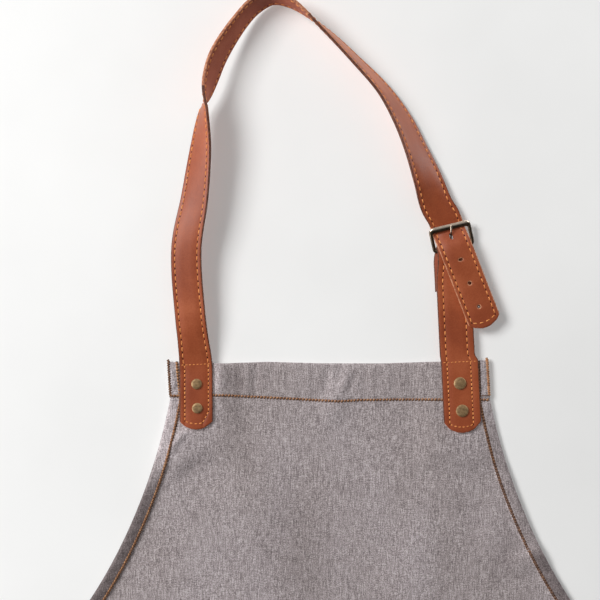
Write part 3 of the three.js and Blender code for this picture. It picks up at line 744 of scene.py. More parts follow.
def drill(bundle, place, direction, along, sizes, profile):
    """An oval cutter through a wall; profile has heights from its middle and what widens it there"""
    side = np.cross(direction, along)
    turn = circle(DRILL_SIDES)[:, None]
    rings = []
    for height, wider in profile:
        oval = (sizes[0] + wider) * np.cos(turn) * along + (sizes[1] + wider) * np.sin(turn) * side
        rings.append(place + height * direction + oval)
    faces = tube_faces(len(profile), DRILL_SIDES, False)
    # The hole's wall takes the dark prick finish, a painted shade inside the hole; its rim takes the pale
    # edge, a painted highlight
    slots = [HOLE] * DRILL_SIDES + [EDGE] * (len(faces) - DRILL_SIDES)
    bundle.add([np.concatenate(rings)], faces, slots)


# Stitches

def stitch_run(bundle, points, normals, size, thread_slot=0, hole_slot=1):
    """Stitches with their needle holes along a line on a surface"""
    line = Path(points)
    count = max(1, round(line.length / size.pitch))
    pitch = line.length / count
    middles = (np.arange(count) + 0.5) * pitch
    out = unit(line.at(normals, middles))
    along = line.at(line.points, middles + pitch / 4) - line.at(line.points, middles - pitch / 4)
    along = unit(along - np.sum(along * out, -1, keepdims=True) * out)
    along, side = turned(along, np.cross(out, along), -math.radians(size.turn))
    centre = line.at(line.points, middles)
    rings = []
    for share, lift, girth in STITCH_RINGS:
        middle = centre + along * share * size.length * pitch / size.pitch + out * lift * size.radius
        rings.append(tube_points(middle, side, out, girth * size.radius, STITCH_SIDES))
    bodies = np.stack(rings, 1).reshape(count, -1, 3)
    bundle.add(bodies, tube_faces(len(STITCH_RINGS), STITCH_SIDES, False), thread_slot)
    needle_holes(bundle, points, normals, np.arange(count + 1) * pitch, size.hole, hole_slot)


def needle_holes(bundle, points, normals, at, radius, slot):
    """Dark pricks in a surface, painted shade of the needle holes: low lenses that stand a hair proud of it
    """
    line = Path(points)
    place, out = line.at(line.points, at), unit(line.at(normals, at))
    side = unit(np.cross(out, SLANT))
    ring = tube_points(place + out * HOLE_LIFT / 2, side, np.cross(out, side), radius, STITCH_SIDES)
    poles = [(place + out * lift)[:, None, :] for lift in (HOLE_LIFT, -HOLE_LIFT)]
    faces = []
    for k in range(STITCH_SIDES):
        after = (k + 1) % STITCH_SIDES
        faces += [[k, after, STITCH_SIDES], [after, k, STITCH_SIDES + 1]]
    bundle.add(np.concatenate([ring, *poles], 1), faces, slot)


def strap_line(strap, base, offset, outside):
    """A line on a strap's face (outside 1) or back (outside -1), with its normals"""
    middle, _, face, _ = strap_place(strap, base, offset)
    normals = face * outside
    return middle + normals * (strap.thickness / 2 - GROOVE_DEPTH), normals


def strap_rows(strap, low, high, count=400):
    """Distances and offsets of the two rows of stitches between two places of a strap"""
    base = np.linspace(low, high, count)
    half = strap.half(base)
    return base, row_inset(strap, base, 0) - half, half - row_inset(strap, base, 1)


def cross_row(base, left, right, count=24):
    """Distances and offsets of a row of stitches across a strap"""
    return np.full(count, base), np.linspace(left, right, count)


# Cloth

def stepped(rows):
    """Depths from 0 on; each row has the depth reached and the number of steps to it"""
    depths = [0.0]
    for reached, steps in rows:
        depths += np.linspace(depths[-1], reached, steps + 1)[1:].tolist()
    return np.array(depths)


def panel_half(depth, top_half):
    """Half width of the panel at a depth below the bib's top edge"""
    depth = np.asarray(depth, float)
    along = np.clip((depth - ARM_START) / ARM_DEPTH, 0, 1)
    curve = BIB_HALF + ARM_LEAN * ARM_DEPTH * along + ARM_SWEEP * (1 - np.sqrt(1 - along ** 2))
    return curve + (top_half - BIB_HALF) * np.clip(1 - depth / ARM_START, 0, 1)


def fold_lift(x, y, folds):
    lift = np.zeros(np.shape(x))
    for fold_x, fold_y, angle, length, half_width, height in folds:
        along, across = turned(x - fold_x, y - fold_y, -math.radians(angle))
        reach = np.hypot(along / (length / 2), across / half_width)
        lift = lift + height * np.clip(1 - reach ** 2, 0, None) ** 2
    return lift


def level_share(x, y, places):
    """1 in each of the places, down to 0 past its fall"""
    share = np.zeros(np.shape(x))
    for place_x, place_y, half_x, half_y, fall in places:
        share_x = 1 - smooth(np.abs(x - place_x), half_x, half_x + fall)
        share_y = 1 - smooth(np.abs(y - place_y), half_y, half_y + fall)
        share = np.maximum(share, share_x * share_y)
    return share


def outline_tree():
    """The panel's left and right outline, for distances from it"""
    depth = stepped(OUTLINE_ROWS)
    sides = np.concatenate([-panel_half(depth, BIB_TOP_LEFT), panel_half(depth, BIB_TOP_RIGHT)])
    tree = kdtree.KDTree(len(sides))
    for k, (x, down) in enumerate(zip(sides, np.tile(depth, 2))):
        tree.insert((x, -down, 0), k)
    tree.balance()
    return tree


OUTLINE = outline_tree()


def outline_distance(x, y):
    flat = [OUTLINE.find((a, b, 0))[2] for a, b in zip(np.ravel(x), np.ravel(y))]
    return np.array(flat).reshape(np.shape(x))


def wandering(along, across, wave, wander, over):
    """A wave whose crests wander"""
    return np.sin(along / wave + wander * np.sin(across / over))


def ripple(along, period):
    """Uneven small waves, from 0 to 1, as a sewn edge has"""
    wave = wandering(along, along, period / (2 * math.pi), **PUCKER_WANDER)
    return 0.5 + 0.5 * wave * (1 - PUCKER_SWING + PUCKER_SWING * np.sin(along / PUCKER_SWING_WAVE + 1))


def cloth_heights(x, y):
    """Height of the cloth's upper face and its thickness"""
    depth = -y
    beside = outline_distance(x, y)
    seam_depth = np.interp(x, BAND_SEAM_X, BAND_SEAM_DEPTH)
    hems = [(beside, SIDE_HEM), (depth, seam_depth), (PANEL_LENGTH - depth, BOTTOM_HEM)]
    in_hems = [1 - smooth(inwards, wide - HEM_STEP[0], wide + HEM_STEP[1]) for inwards, wide in hems]
    sewn = np.max([np.exp(-((inwards - wide) / SEAM_REACH) ** 2) for inwards, wide in hems], 0)
    side, band, _ = in_hems
    thickness = CLOTH + (HEM - CLOTH) * np.max(in_hems, 0)
    swell = SWELL * (1 + wandering(x, y, **SWELL_ACROSS) * wandering(y, x, **SWELL_ALONG))
    standing = smooth(depth, *EDGE_LIFT_FROM) * (1 - smooth(depth, *EDGE_LIFT_TO))
    lying = thickness + fold_lift(x, y, FOLDS) + swell * (1 - band)
    lying = lying + EDGE_LIFT * standing * (1 - smooth(beside, 0, EDGE_LIFT_REACH))
    level = lying + (SEAT_TOP - lying) * level_share(x, y, SEATS)
    puckers = SIDE_PUCKER * side * ripple(y, SIDE_PUCKER_PERIOD)
    puckers = puckers + BAND_PUCKER * band * ripple(x, BAND_PUCKER_PERIOD)
    rolled = np.min([beside, depth, PANEL_LENGTH - depth], 0)
    relief = puckers * smooth(rolled, 0, PUCKER_START) - SEAM_PRESS * sewn
    relief = relief - EDGE_ROLL * (1 - smooth(rolled, 0, EDGE_ROLL_REACH))
    relief = relief + np.clip(fold_lift(x, y, CREASES), -CREASE_DEEPEST * thickness, None)
    return level + relief * (1 - level_share(x, y, COVERED)), thickness


def top_edge_rise(x, y):
    return np.interp(x, TOP_EDGE_X, TOP_EDGE_RISE) * np.clip(1 + y / TOP_EDGE_FADE, 0, 1)


def painted_cloth_shading(x, depth):
    """How far the cloth is painted lighter (-1) or darker (1): painted light and painted shade along the
    hems and on the bib
    """
    in_hem = 1 - smooth(outline_distance(x, -depth), *HEM_PAINTED_SHADING_STEP)
    lighter = smooth(depth, *LEFT_HEM_PAINTED_LIGHT) - smooth(depth, *LEFT_HEM_PAINTED_LIGHT_FADES)
    left = smooth(depth, *LEFT_HEM_PAINTED_SHADE) - lighter
    dull = RIGHT_HEM_FIRST_PAINTED_SHADE * smooth(depth, *RIGHT_HEM_PAINTED_SHADE_STARTS)
    right = lerp(dull, 1.0, smooth(depth, *RIGHT_HEM_PAINTED_SHADE))
    tone = in_hem * np.where(x < 0, left, right) * (1 - smooth(depth, *HEM_PAINTED_SHADING_ENDS))
    return np.clip(tone + fold_lift(x, -depth, PAINTED_BIB_SHADING), -1, 1)


def panel_columns(depth):
    """Places across the panel at a depth, closer together in the hems"""
    left, right = float(panel_half(depth, BIB_TOP_LEFT)), float(panel_half(depth, BIB_TOP_RIGHT))
    slope = float(panel_half(depth + 0.5, BIB_HALF) - panel_half(depth - 0.5, BIB_HALF))
    hem = np.array(HEM_COLUMNS) * min(math.hypot(1, slope), HEM_COLUMN_STRETCH)
    inner = np.linspace(hem[-1] - left, right - hem[-1], INNER_COLUMNS + 1)[1:-1]
    return np.concatenate([hem - left, inner, right - hem[::-1]])


def panel_mesh(materials):
    depths = stepped(PANEL_ROWS)
    x = np.array([panel_columns(depth) for depth in depths])
    depth = np.broadcast_to(depths[:, None], x.shape)
    top, thickness = cloth_heights(x, -depth)
    y = top_edge_rise(x, -depth) - depth
    faces_z = [top, np.maximum(top - thickness, 0.0)]
    points = np.concatenate([np.stack([x, y, z], -1).reshape(-1, 3) for z in faces_z])
    rows, columns = x.shape
    count = rows * columns
    faces = grid_faces(rows, columns)
    rim = np.concatenate([
        np.arange(columns), np.arange(1, rows) * columns + columns - 1,
        count - 2 - np.arange(columns - 1), np.arange(rows - 2, 0, -1) * columns,
    ])
    after = np.roll(rim, -1)
    walls = np.stack([rim, after, after + count, rim + count], -1)
    faces = np.concatenate([faces, faces[:, ::-1] + count, walls])
    made = piece("apron_cloth", points, faces, materials, angle=60)
    # Each point gets the painted light and painted shade that the cloth's material multiplies in
    point_values(made, "painted_cloth_shading", np.tile(painted_cloth_shading(x, depth).reshape(-1), 2))
    return made


def cloth_line(x, y, step=0.6):
    """A line on the cloth's upper face, with its normals from the slope over a step to each side"""
    top, _ = cloth_heights(x, y)
    slope_x = (cloth_heights(x + step, y)[0] - cloth_heights(x - step, y)[0]) / (2 * step)
    slope_y = (cloth_heights(x, y + step)[0] - cloth_heights(x, y - step)[0]) / (2 * step)
    normals = unit(np.stack([-slope_x, -slope_y, np.ones_like(top)], -1))
    return np.stack([x, y + top_edge_rise(x, y), top], -1), normals


def beside_outline(side, depth, inset):
    """A line inside the panel's left (-1) or right (1) outline, at a distance from it"""
    half = panel_half(depth, BIB_TOP_LEFT if side < 0 else BIB_TOP_RIGHT)
    slope = np.gradient(half, depth)
    length = np.hypot(1, slope)
    return side * (half - inset / length), -(depth + inset * slope / length)


# Materials

def linear(red, green, blue):
    """A colour given in 8-bit screen values"""
    shares = np.array([red, green, blue]) / 255
    light = np.where(shares <= 0.04045, shares / 12.92, ((shares + 0.055) / 1.055) ** 2.4)
    return (*light.tolist(), 1.0)


class Finish:
    """A material whose looks come from procedural nodes; looks go to the shader's own sockets"""

    # Places of the colour sockets of a mix node
    MIX_FIRST, MIX_SECOND, MIX_RESULT = 6, 7, 2

    def __init__(self, name, looks):
        self.material = bpy.data.materials.new(name)
        self.material.use_nodes = True
        self.tree = self.material.node_tree
        self.place = self.node("TexCoord", "Object", {})
        self.surface(looks)

    def put(self, sockets, values):
        """Each value is a number, a colour or another node's output"""
        for key, value in values.items():
            if isinstance(value, bpy.types.NodeSocket):
                self.tree.links.new(value, sockets[key])
            else:
                sockets[key].default_value = value

    def surface(self, values):
        self.put(self.tree.nodes["Principled BSDF"].inputs, values)

    def node(self, kind, output, values, **settings):
        made = self.tree.nodes.new("ShaderNode" + kind)
        for name, setting in settings.items():
            setattr(made, name, setting)
        self.put(made.inputs, values)
        return made.outputs[output]

    def noise(self, scale, detail):
        """Noise in waves per metre, the same all ways or with its own scale in X, Y and Z"""
        scale = scale if isinstance(scale, tuple) else (scale, scale, scale)
        place = self.node("Mapping", "Vector", {"Vector": self.place, "Scale": scale})
        values = {"Vector": place, "Scale": 1.0, "Detail": detail, "Roughness": 0.55}
        return self.node("TexNoise", "Fac", values)

    def cells(self, scale):
        values = {"Vector": self.place, "Scale": scale}
        return self.node("TexVoronoi", "Distance", values, feature="SMOOTH_F1")

    def bands(self, direction, scale):
        values = {"Vector": self.place, "Scale": scale, "Distortion": 1.5, "Detail": 1.0}
        return self.node("TexWave", "Fac", values, bands_direction=direction)

    def attribute(self, name):
        return self.node("Attribute", "Fac", {}, attribute_name=name)

    def math(self, operation, first, second):
        return self.node("Math", "Value", {0: first, 1: second}, operation=operation)

    def weigh(self, *parts):
        """Sum of sockets, each with its weight"""
        total, *others = [self.math("MULTIPLY", socket, weight) for socket, weight in parts]
        for part in others:
            total = self.math("ADD", total, part)
        return total

    def ramp(self, value, places, colours):
        """Colours by value: places from 0 to 1, and the colour at each in 8-bit screen values"""
        node = self.tree.nodes.new("ShaderNodeValToRGB")
        elements = node.color_ramp.elements
        while len(elements) < len(places):
            elements.new(0.5)
        for element, place, colour in zip(elements, places, colours):
            element.position = place
            element.color = linear(*colour)
        self.put(node.inputs, {"Fac": value})
        return node.outputs["Color"]

    def mix(self, share, first, second, blend="MIX"):
        values = {0: share, self.MIX_FIRST: first, self.MIX_SECOND: second}
        return self.node("Mix", self.MIX_RESULT, values, data_type="RGBA", blend_type=blend)

    def range(self, value, low, high, to_low, to_high):
        limits = {"From Min": low, "From Max": high, "To Min": to_low, "To Max": to_high}
        return self.node("MapRange", "Result", {"Value": value, **limits})

    def bump(self, height, strength, depth):
        """Relief of the given depth in metres"""
        values = {"Height": height, "Strength": strength, "Distance": depth}
        self.surface({"Normal": self.node("Bump", "Normal", values)})

    def mottle(self, noises, places, colours, relief=None):
        """Colours by the sum of noises (scale, detail, weight); the last noise may stand out as relief"""
        self.grains = [self.noise(scale, detail) for scale, detail, _ in noises]
        self.tone = self.weigh(*[(grain, row[2]) for grain, row in zip(self.grains, noises)])
        self.surface({"Base Color": self.ramp(self.tone, places, colours)})
        if relief:
            self.bump(self.grains[-1], *relief)
        return self


def cloth_finish():
    """Slubby plain weave: a fine speckle of pale and dark threads with faint upright streaks"""
    looks = {"Roughness": 0.92, "Specular IOR Level": 0.2, "Sheen Weight": 0.1, "Sheen Roughness": 0.5}
    made = Finish("woven_cloth", looks)
    speckle = made.noise((1500, 1250, 1300), 1)
    upright, across = made.noise((1800, 140, 1800), 1), made.noise((210, 1800, 1800), 1)
    threads = made.weigh((speckle, 0.48), (upright, 0.34), (across, 0.18))
    colour = made.ramp(threads, (0.36, 0.5, 0.64), [(118, 109, 111), (174, 164, 165), (228, 219, 222)])
    shade = made.ramp(made.noise((16, 6, 14), 1), (0.3, 0.7), [(236, 233, 231), (255, 254, 255)])
    # Painted light and painted shade of the hems and the bib, multiplied into the weave's colour below
    tone = made.range(made.attribute("painted_cloth_shading"), -1, 1, 0, 1)
    turn = made.ramp(tone, (0.0, 0.5, 1.0), [(255, 255, 255), (230, 230, 229), (170, 166, 165)])
    for layer in (shade, turn):
        colour = made.mix(1.0, colour, layer, "MULTIPLY")
    made.surface({"Base Color": colour})
    weave = made.weigh((made.bands("X", 330), 0.25), (made.bands("Y", 300), 0.25), (threads, 0.9))
    made.bump(weave, 0.5, 0.0005)
    return made.material


def leather_finish():
    """Smooth tan hide with a fine grain and faint clouds"""
    looks = {"Specular IOR Level": 0.45, "Sheen Weight": 0.55, "Sheen Roughness": 0.4}
    made = Finish("tan_leather", {**looks, "Roughness": 0.4, "Sheen Tint": linear(255, 200, 172)})
    colours = [(127, 55, 24), (142, 66, 31), (157, 79, 42)]
    clouds, pores = made.mottle([(38, 4, 0.7), (900, 3, 0.3)], (0.36, 0.52, 0.68), colours).grains
    gloss = made.weigh((clouds, 0.5), (pores, 0.5))
    made.surface({"Roughness": made.range(gloss, 0.35, 0.65, 0.4, 0.52)})
    made.bump(made.weigh((made.cells(1500), 0.6), (pores, 0.4)), 0.22, 0.0003)
    return made.material


def back_finish():
    """Back of the hide: darker, dull and a little fibrous"""
    made = Finish("leather_back", {"Roughness": 0.65, "Specular IOR Level": 0.3})
    colours = [(132, 64, 42), (147, 76, 52), (162, 90, 64)]
    made.mottle([(46, 4, 0.6), (1200, 3, 0.4)], (0.36, 0.52, 0.68), colours, (0.3, 0.0003))
    return made.material


def edge_finish(name, *colours):
    """Cut edge of the hide, fibrous"""
    made = Finish(name, {"Roughness": 0.65, "Specular IOR Level": 0.3})
    return made.mottle([((500, 500, 1400), 4, 1)], (0.34, 0.52, 0.7), colours, (0.4, 0.0003)).material


def thread_finish(name, *colours):
    made = Finish(name, {"Roughness": 0.6, "Specular IOR Level": 0.4})
    return made.mottle([(240, 2, 0.45), (2600, 2, 0.55)], (0.36, 0.5, 0.64), colours, (0.5, 0.0002)).material


def prick_finish(name, *colours):
    made = Finish(name, {"Roughness": 0.9, "Specular IOR Level": 0.1})
    return made.mottle([(900, 3, 1)], (0.35, 0.65), colours).material


def floor_finish():
    made = Finish("pale_floor", {"Roughness": 0.75, "Specular IOR Level": 0.25})
    return made.mottle([(6, 3, 1)], (0.3, 0.7), [(231, 231, 230), (237, 237, 236)]).material


def brass_finish():
    """Antique brass: dull metal with brown tarnish and scratches"""
    made = Finish("antique_brass", {"Roughness": 0.55, "Metallic": 0.6})
    noises = [(420, 5, 0.7), ((260, 1900, 600), 3, 0.3)]
    colours = [(110, 87, 60), (140, 113, 79), (166, 137, 99)]
    made.mottle(noises, (0.34, 0.5, 0.66), colours, (0.12, 0.0002))
    made.surface({"Roughness": made.range(made.tone, 0.35, 0.65, 0.62, 0.5)})
    return made.material


def bronze_finish():
    """Blackened bronze wire, painted bright as a painted highlight along the front bar's outer side, and on
    the prong's point, which is partly worn and partly painted with a highlight
    """
    made = Finish("dark_bronze", {"Roughness": 0.38, "Metallic": 1.0})
    patches = made.noise(300, 5)
    patina = made.ramp(patches, (0.34, 0.54, 0.7), [(58, 50, 42), (80, 69, 57), (116, 100, 82)])
    # Bright metal colour of the painted highlight and of the prong's worn point
    highlight_and_worn_colour = made.ramp(patches, (0.34, 0.7), [(220, 202, 182), (240, 226, 210)])
    wear_and_highlight_share = made.math("MULTIPLY", made.attribute("wear_and_highlight"), made.range(patches, 0.3, 0.5, 0.75, 1.0))
    gloss = made.range(patches, 0.35, 0.65, 0.44, 0.32)
    made.surface({"Base Color": made.mix(wear_and_highlight_share, patina, highlight_and_worn_colour), "Roughness": gloss})
    made.bump(made.noise(1200, 3), 0.15, 0.0002)
    return made.material


CLOTH_MATERIAL, BRASS_MATERIAL, BRONZE_MATERIAL = cloth_finish(), brass_finish(), bronze_finish()
TAN_THREAD = thread_finish("tan_thread", (164, 92, 42), (198, 122, 60), (222, 154, 88))
ORANGE_THREAD = thread_finish("orange_thread", (104, 66, 40), (150, 102, 66), (190, 146, 104))
BROWN_THREAD = thread_finish("brown_thread", (56, 36, 22), (84, 54, 34), (132, 92, 60))
# Dark finishes of the pricks and hole walls: painted shade in the holes
LEATHER_PRICK = prick_finish("leather_prick", (34, 16, 10), (56, 28, 18))
CLOTH_PRICK = prick_finish("cloth_prick", (52, 36, 26), (80, 58, 44))
# In the order of a leather strap's slots
STRAP_MATERIALS = [
    leather_finish(),
    # The pale cut edge is a painted highlight where light falls on the edge: on the loop, the tail, the
    # strap ends and the holes' rims
    edge_finish("pale_edge_painted_highlight", (128, 72, 48), (168, 110, 80), (200, 146, 112)),
    # Dark walls of the punched holes: painted shade inside them
    LEATHER_PRICK,
    back_finish(),
    edge_finish("dark_edge", (66, 34, 24), (92, 50, 34), (126, 76, 52)),
]


def settle(made, slot, *nodes):
    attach(made, "root")
    if nodes:
        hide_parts(*nodes)
    return made


# Leather straps and their stitches

neck, short = NeckStrap(), BuckleStrap()
neck_piece = strap_mesh(neck, "neck_strap_leather", STRAP_MATERIALS, STRAP_STEP)
short_piece = strap_mesh(short, "buckle_strap_leather", STRAP_MATERIALS, STRAP_STEP)

# Drill profiles: height from the wall's middle, what is added to the hole's size
straight = [(-DRILL_REACH, 0), (DRILL_REACH, 0)]
closing = [
    (-LEATHER / 2 - RIM_DEPTH, -HOLE_CLOSING),
    (LEATHER / 2 - RIM_DEPTH, 0),
    (LEATHER / 2 + RIM_DEPTH, 2 * RIM_WIDTH),
    (DRILL_REACH, 2 * RIM_WIDTH),
]
left_cutter, right_cutter = Bundle(), Bundle()
hole_base = neck.length - TIP_TO_HOLE - HOLE_PITCH * np.arange(len(HOLES))
hole_middle, _, hole_face, hole_along = strap_place(neck, hole_base, 0)
for k, sizes in enumerate(HOLES):
    profile = straight if k == PRONG_HOLE else closing
    drill(left_cutter, hole_middle[k], hole_face[k], hole_along[k], sizes, profile)
for name, x, y, _, _ in RIVETS:
    cutter = left_cutter if "left" in name else right_cutter
    post = RIVET_POST + GAP
    drill(cutter, np.array([x, y, SEAT_TOP]), UP, np.array([0.0, 1.0, 0.0]), (post, post), straight)
slot_across = [PRONG_SIDESTEP - SLOT_WIDTH / 2, PRONG_SIDESTEP + SLOT_WIDTH / 2]
slot_box = [(*on_buckle(x, y), z) for x in slot_across for y in SLOT_ALONG for z in SLOT_UP]
slot_sides = [[0, 1, 3, 2], [4, 6, 7, 5], [0, 4, 5, 1], [2, 3, 7, 6], [0, 2, 6, 4], [1, 5, 7, 3]]
right_cutter.add([slot_box], slot_sides, EDGE)
cut(neck_piece, left_cutter.piece("left_cutter", STRAP_MATERIALS))
cut(short_piece, right_cutter.piece("right_cutter", STRAP_MATERIALS))

leather_threads = Bundle()
for strap, last in ((neck, neck.length - neck.end_row), (short, short.heel - short.WRAP_MARGIN)):
    foot_base, foot_left, foot_right = strap_rows(strap, strap.end_row, strap.seam)
    base, left, right = strap_rows(strap, strap.seam, last)
    reach = float(strap.half(strap.seam)) - ACROSS_MARGIN
    lines = [
        (foot_base, foot_left, FOOT_STITCH),
        (foot_base, foot_right, FOOT_STITCH),
        (*cross_row(strap.end_row, foot_left[0], foot_right[0]), FOOT_STITCH),
        (*cross_row(strap.seam, -reach, reach), ACROSS_STITCH),
        (base, left, STRAP_STITCH),
        (base, right, STRAP_STITCH),
    ]
    if strap.rounded[1]:
        lines.append((*cross_row(last, left[-1], right[-1]), STRAP_STITCH))
    for line_base, line_offset, size in lines:
        for outside in (1, -1):
            stitch_run(leather_threads, *strap_line(strap, line_base, line_offset, outside), size)
spare_base = np.linspace(*SPARE_ROW, SPARE_POINTS)
spare_line = strap_line(short, spare_base, short.half(spare_base) - SPARE_ROW_INSET, 1)
spare_at = np.arange(0, SPARE_ROW[1] - SPARE_ROW[0], FOOT_STITCH.pitch)
needle_holes(leather_threads, *spare_line, spare_at, FOOT_STITCH.hole, 1)

settle(neck_piece, "leather", "neck_strap")
settle(short_piece, "leather", "buckle_strap")
settle(leather_threads.piece("leather_stitches", [TAN_THREAD, LEATHER_PRICK]), "leather")


# Rivets

def rivet_mesh(name, x, y, cloth, cap):
    under = SEAT_TOP - cloth - GAP
    over = STRAP_ON_SEAT + LEATHER / 2 + GAP
    low, high = under - RIVET_BACK_HEIGHT, over + RIVET_HEIGHT
    crown = RIVET_HEIGHT - RIVET_RIM
    dome = [(cap * math.cos(a) ** RIVET_FLAT, over + RIVET_RIM + crown * math.sin(a))
            for a in np.radians(np.arange(0, 90, DOME_STEP))]
    radii, heights = np.array([
        (RIVET_BACK - RIVET_BACK_ROUND, low),
        (RIVET_BACK, low + RIVET_BACK_ROUND),
        (RIVET_BACK, under),
        (RIVET_POST, under),
        (RIVET_POST, over),
        (cap - RIVET_UNDERCUT, over),
        *dome,
    ]).T
    rows = len(radii)
    axis = np.stack([np.full(rows, x), np.full(rows, y), heights], -1)
    side, up = (np.broadcast_to(np.eye(3)[k], axis.shape) for k in (0, 1))
    rings = tube_points(axis, side, up, radii, RIVET_SIDES).reshape(-1, 3)
    faces = grid_faces(rows, RIVET_SIDES, closed_columns=True).tolist()
    for first, pole in ((0, len(rings)), (len(rings) - RIVET_SIDES, len(rings) + 1)):
        faces += [[first + k, first + (k + 1) % RIVET_SIDES, pole] for k in range(RIVET_SIDES)]
    points = np.concatenate([rings, [(x, y, low), (x, y, high)]])
    return piece(name + "_cap", points, faces, [BRASS_MATERIAL], angle=35)


for name, *values in RIVETS:
    settle(rivet_mesh(name, *values), "rivet", name)


# Buckle

def buckle_points(x, y, z):
    """Places given in the buckle's frame"""
    return np.stack([*on_buckle(x, y), z], -1)


def buckle_frame_mesh():
    pitch = math.asin((FRONT_HEIGHT - HEEL_HEIGHT) / BUCKLE_REACH)
    corners = [
        # x, y, radius, first angle
        (BUCKLE_SIDE, BUCKLE_REACH, FRONT_CORNER, 0),
        (-BUCKLE_SIDE, BUCKLE_REACH, FRONT_CORNER, 90),
        (-BUCKLE_SIDE, 0, HEEL_CORNER, 180),
        (BUCKLE_SIDE, 0, HEEL_CORNER, 270),
    ]
    line = []
    for x, y, radius, first in corners:
        middle_x = x - math.copysign(radius, x)
        middle_y = y - radius if y > 0 else radius
        for angle in np.radians(np.linspace(first, first + 90, CORNER_STEPS + 1)):
            line.append((middle_x + radius * math.cos(angle), middle_y + radius * math.sin(angle), 0))
    line = np.array(line)
    along = unit(np.roll(line, -1, 0) - np.roll(line, 1, 0))
    up = np.broadcast_to(UP, line.shape)
    at_front = smooth(line[:, 1], BUCKLE_REACH - FRONT_CORNER, BUCKLE_REACH)
    widening = lerp(1.0, FRONT_BAR_HALF_WIDTH / WIRE, at_front)[:, None]
    rings = tube_points(line, np.cross(up, along) * widening, up, WIRE, WIRE_SIDES)
    x, flat_y, flat_z = rings.reshape(-1, 3).T
    y, z = turned(flat_y, flat_z, pitch)
    faces = tube_faces(len(line), WIRE_SIDES, True)
    made = piece("buckle_wire", buckle_points(x, y, z + HEEL_HEIGHT), faces, [BRONZE_MATERIAL])
    # A painted highlight along the front bar's outer side
    point_values(made, "wear_and_highlight", smooth(flat_y, *BAR_PAINTED_HIGHLIGHT))
    return made


def prong_mesh():
    eye = [(EYE_RADIUS * math.cos(a), HEEL_HEIGHT + EYE_RADIUS * math.sin(a))
           for a in np.radians(np.linspace(*EYE_ANGLES, EYE_STEPS))]
    shank = Route([(0, y, z) for y, z in [eye[-1], *PRONG_PATH]])
    bend = shank.at(shank.points, np.linspace(0, shank.length, SHANK_STEPS)[1:])
    line = np.concatenate([[(0, y, z) for y, z in eye], bend])
    line[:, 0] = PRONG_SIDESTEP + PRONG_LEAN * line[:, 1]
    along = unit(np.gradient(line, axis=0))
    side = np.broadcast_to(np.array([1.0, 0.0, 0.0]), line.shape)
    radius = np.full(len(line), PRONG)
    radius[-len(PRONG_TIP):] *= PRONG_TIP
    x, y, z = tube_points(line, side, np.cross(along, side), radius, PRONG_SIDES).reshape(-1, 3).T
    faces = tube_faces(len(line), PRONG_SIDES, False)
    made = piece("buckle_tongue", buckle_points(x, y, z), faces, [BRONZE_MATERIAL])
    # The prong's point is made bright, partly as a worn point and partly as a painted highlight
    point_values(made, "wear_and_highlight", PRONG_WEAR_AND_HIGHLIGHT * smooth(y, *PRONG_POINT_WORN_AND_HIGHLIT))
    return made


settle(buckle_frame_mesh(), "bronze", "buckle_frame")
settle(prong_mesh(), "bronze", "buckle_prong")


# Cloth panel, its seams and the ties

apron = settle(panel_mesh([CLOTH_MATERIAL]), "cloth", "apron_panel")
ties = []
for side, name in ((-1, "waist_tie_left"), (1, "waist_tie_right")):
    tie = Tie(side)
    made = strap_mesh(tie, name + "_cloth", [CLOTH_MATERIAL], TIE_STEP)
    ties.append((settle(made, "cloth", name), tie))

# Slots of the threads, and the seams: x and y of a line, kind of stitch, thread
ORANGE, BROWN, PRICK = range(3)
band_x = np.linspace(-BIB_HALF, BIB_HALF - SEAM_END_MARGIN, BAND_POINTS)
band_y = -np.interp(band_x, BAND_SEAM_X, BAND_SEAM_DEPTH)
seams = [(band_x, band_y, BAND_STITCH, ORANGE), (band_x, band_y - SECOND_ROW, BAND_STITCH, BROWN)]
arm_depth = np.linspace(ARM_SEAM_START, WAIST_DEPTH - SEAM_END_MARGIN, ARM_POINTS)
arm_inset = np.interp(arm_depth, SIDE_SEAM_DEPTHS, SIDE_SEAM_INSETS)
skirt_y = np.linspace(-WAIST_DEPTH - SIDE_HEM, SEAM_END_MARGIN - PANEL_LENGTH, SKIRT_POINTS)
for side, second_thread, end_thread in ((-1, ORANGE, BROWN), (1, BROWN, ORANGE)):
    for inset, thread in ((arm_inset, BROWN), (arm_inset - SECOND_ROW, second_thread)):
        x, y = beside_outline(side, arm_depth, inset)
        inside = np.abs(x) < WAIST_HALF - SIDE_HEM
        seams.append((x[inside], y[inside], SIDE_STITCH, thread))
    x, y = beside_outline(side, np.linspace(*BAND_END, BAND_END_POINTS), BAND_END_INSET)
    seams.append((x, y, END_STITCH, end_thread))
    turn_x = np.linspace(x[-1], x[-1] - side * (SIDE_HEM - BAND_END_INSET), BAND_TURN_POINTS)
    seams.append((turn_x, np.full_like(turn_x, y[-1]), TIE_STITCH, BROWN))
    skirt_x = np.full_like(skirt_y, side * (WAIST_HALF - SIDE_HEM))
    seams.append((skirt_x, skirt_y, SIDE_STITCH, BROWN))
foot_x = np.linspace(SEAM_END_MARGIN - WAIST_HALF, WAIST_HALF - SEAM_END_MARGIN, FOOT_POINTS)
seams.append((foot_x, np.full_like(foot_x, BOTTOM_HEM - PANEL_LENGTH), SIDE_STITCH, BROWN))
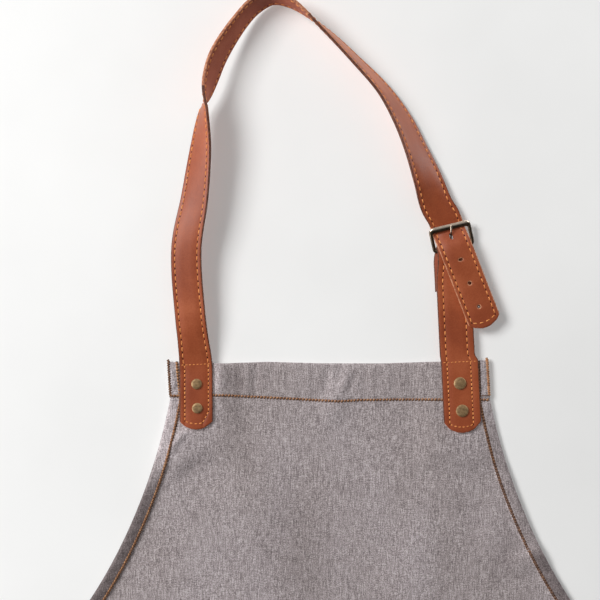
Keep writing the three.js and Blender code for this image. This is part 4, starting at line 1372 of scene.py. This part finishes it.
cloth_threads = Bundle()
for x, y, size, thread in seams:
    stitch_run(cloth_threads, *cloth_line(x, y), size, thread, PRICK)
for _, tie in ties:
    base, left, right = strap_rows(tie, SEAM_END_MARGIN, tie.length - SEAM_END_MARGIN)
    for offset in (left, right):
        stitch_run(cloth_threads, *strap_line(tie, base, offset, 1), TIE_STITCH, BROWN, PRICK)
thread_materials = [ORANGE_THREAD, BROWN_THREAD, CLOTH_PRICK]
seam_piece = settle(cloth_threads.piece("cloth_stitches", thread_materials), "cloth")


# Floor, light and camera

def floor_mesh():
    mesh = bpy.data.meshes.new("floor")
    corners = [(x * FLOOR_HALF, y * FLOOR_HALF, 0) for x, y in ((-1, -1), (1, -1), (1, 1), (-1, 1))]
    mesh.from_pydata(corners, [], [(0, 1, 2, 3)])
    mesh.materials.append(floor_finish())
    made = new_object("floor", mesh)
    made.location.z = -FLOOR_DROP
    return made


def area_light(name, offset, size, power, shadow):
    """A soft light that looks at the picture's middle"""
    lamp = bpy.data.lights.new(name, "AREA")
    lamp.shape = "RECTANGLE"
    lamp.size, lamp.size_y = size
    lamp.energy = power
    lamp.use_shadow = shadow
    made = new_object(name, lamp)
    made.location = middle + Vector(offset)
    made.rotation_mode = "QUATERNION"
    made.rotation_quaternion = Vector(offset).to_track_quat("Z", "Y")


floor_mesh()
scene = bpy.context.scene
middle = Vector((PICTURE_MIDDLE[0] * MM, BIB_TOP + PICTURE_MIDDLE[1] * MM, 0.0))
for row in LAMPS:
    area_light(*row)

world = bpy.data.worlds.new("studio")
world.use_nodes = True
sky = world.node_tree.nodes["Background"].inputs
sky["Color"].default_value = (1.0, 1.0, 1.0, 1.0)
sky["Strength"].default_value = SKY_STRENGTH
scene.world = world
scene.view_settings.view_transform = "Standard"

lens = bpy.data.cameras.new("camera")
lens.sensor_width = SENSOR
lens.lens = SENSOR * CAMERA_HEIGHT / PICTURE_SPAN
scene.camera = new_object("camera", lens)
scene.camera.location = (middle.x, middle.y, CAMERA_HEIGHT * MM)
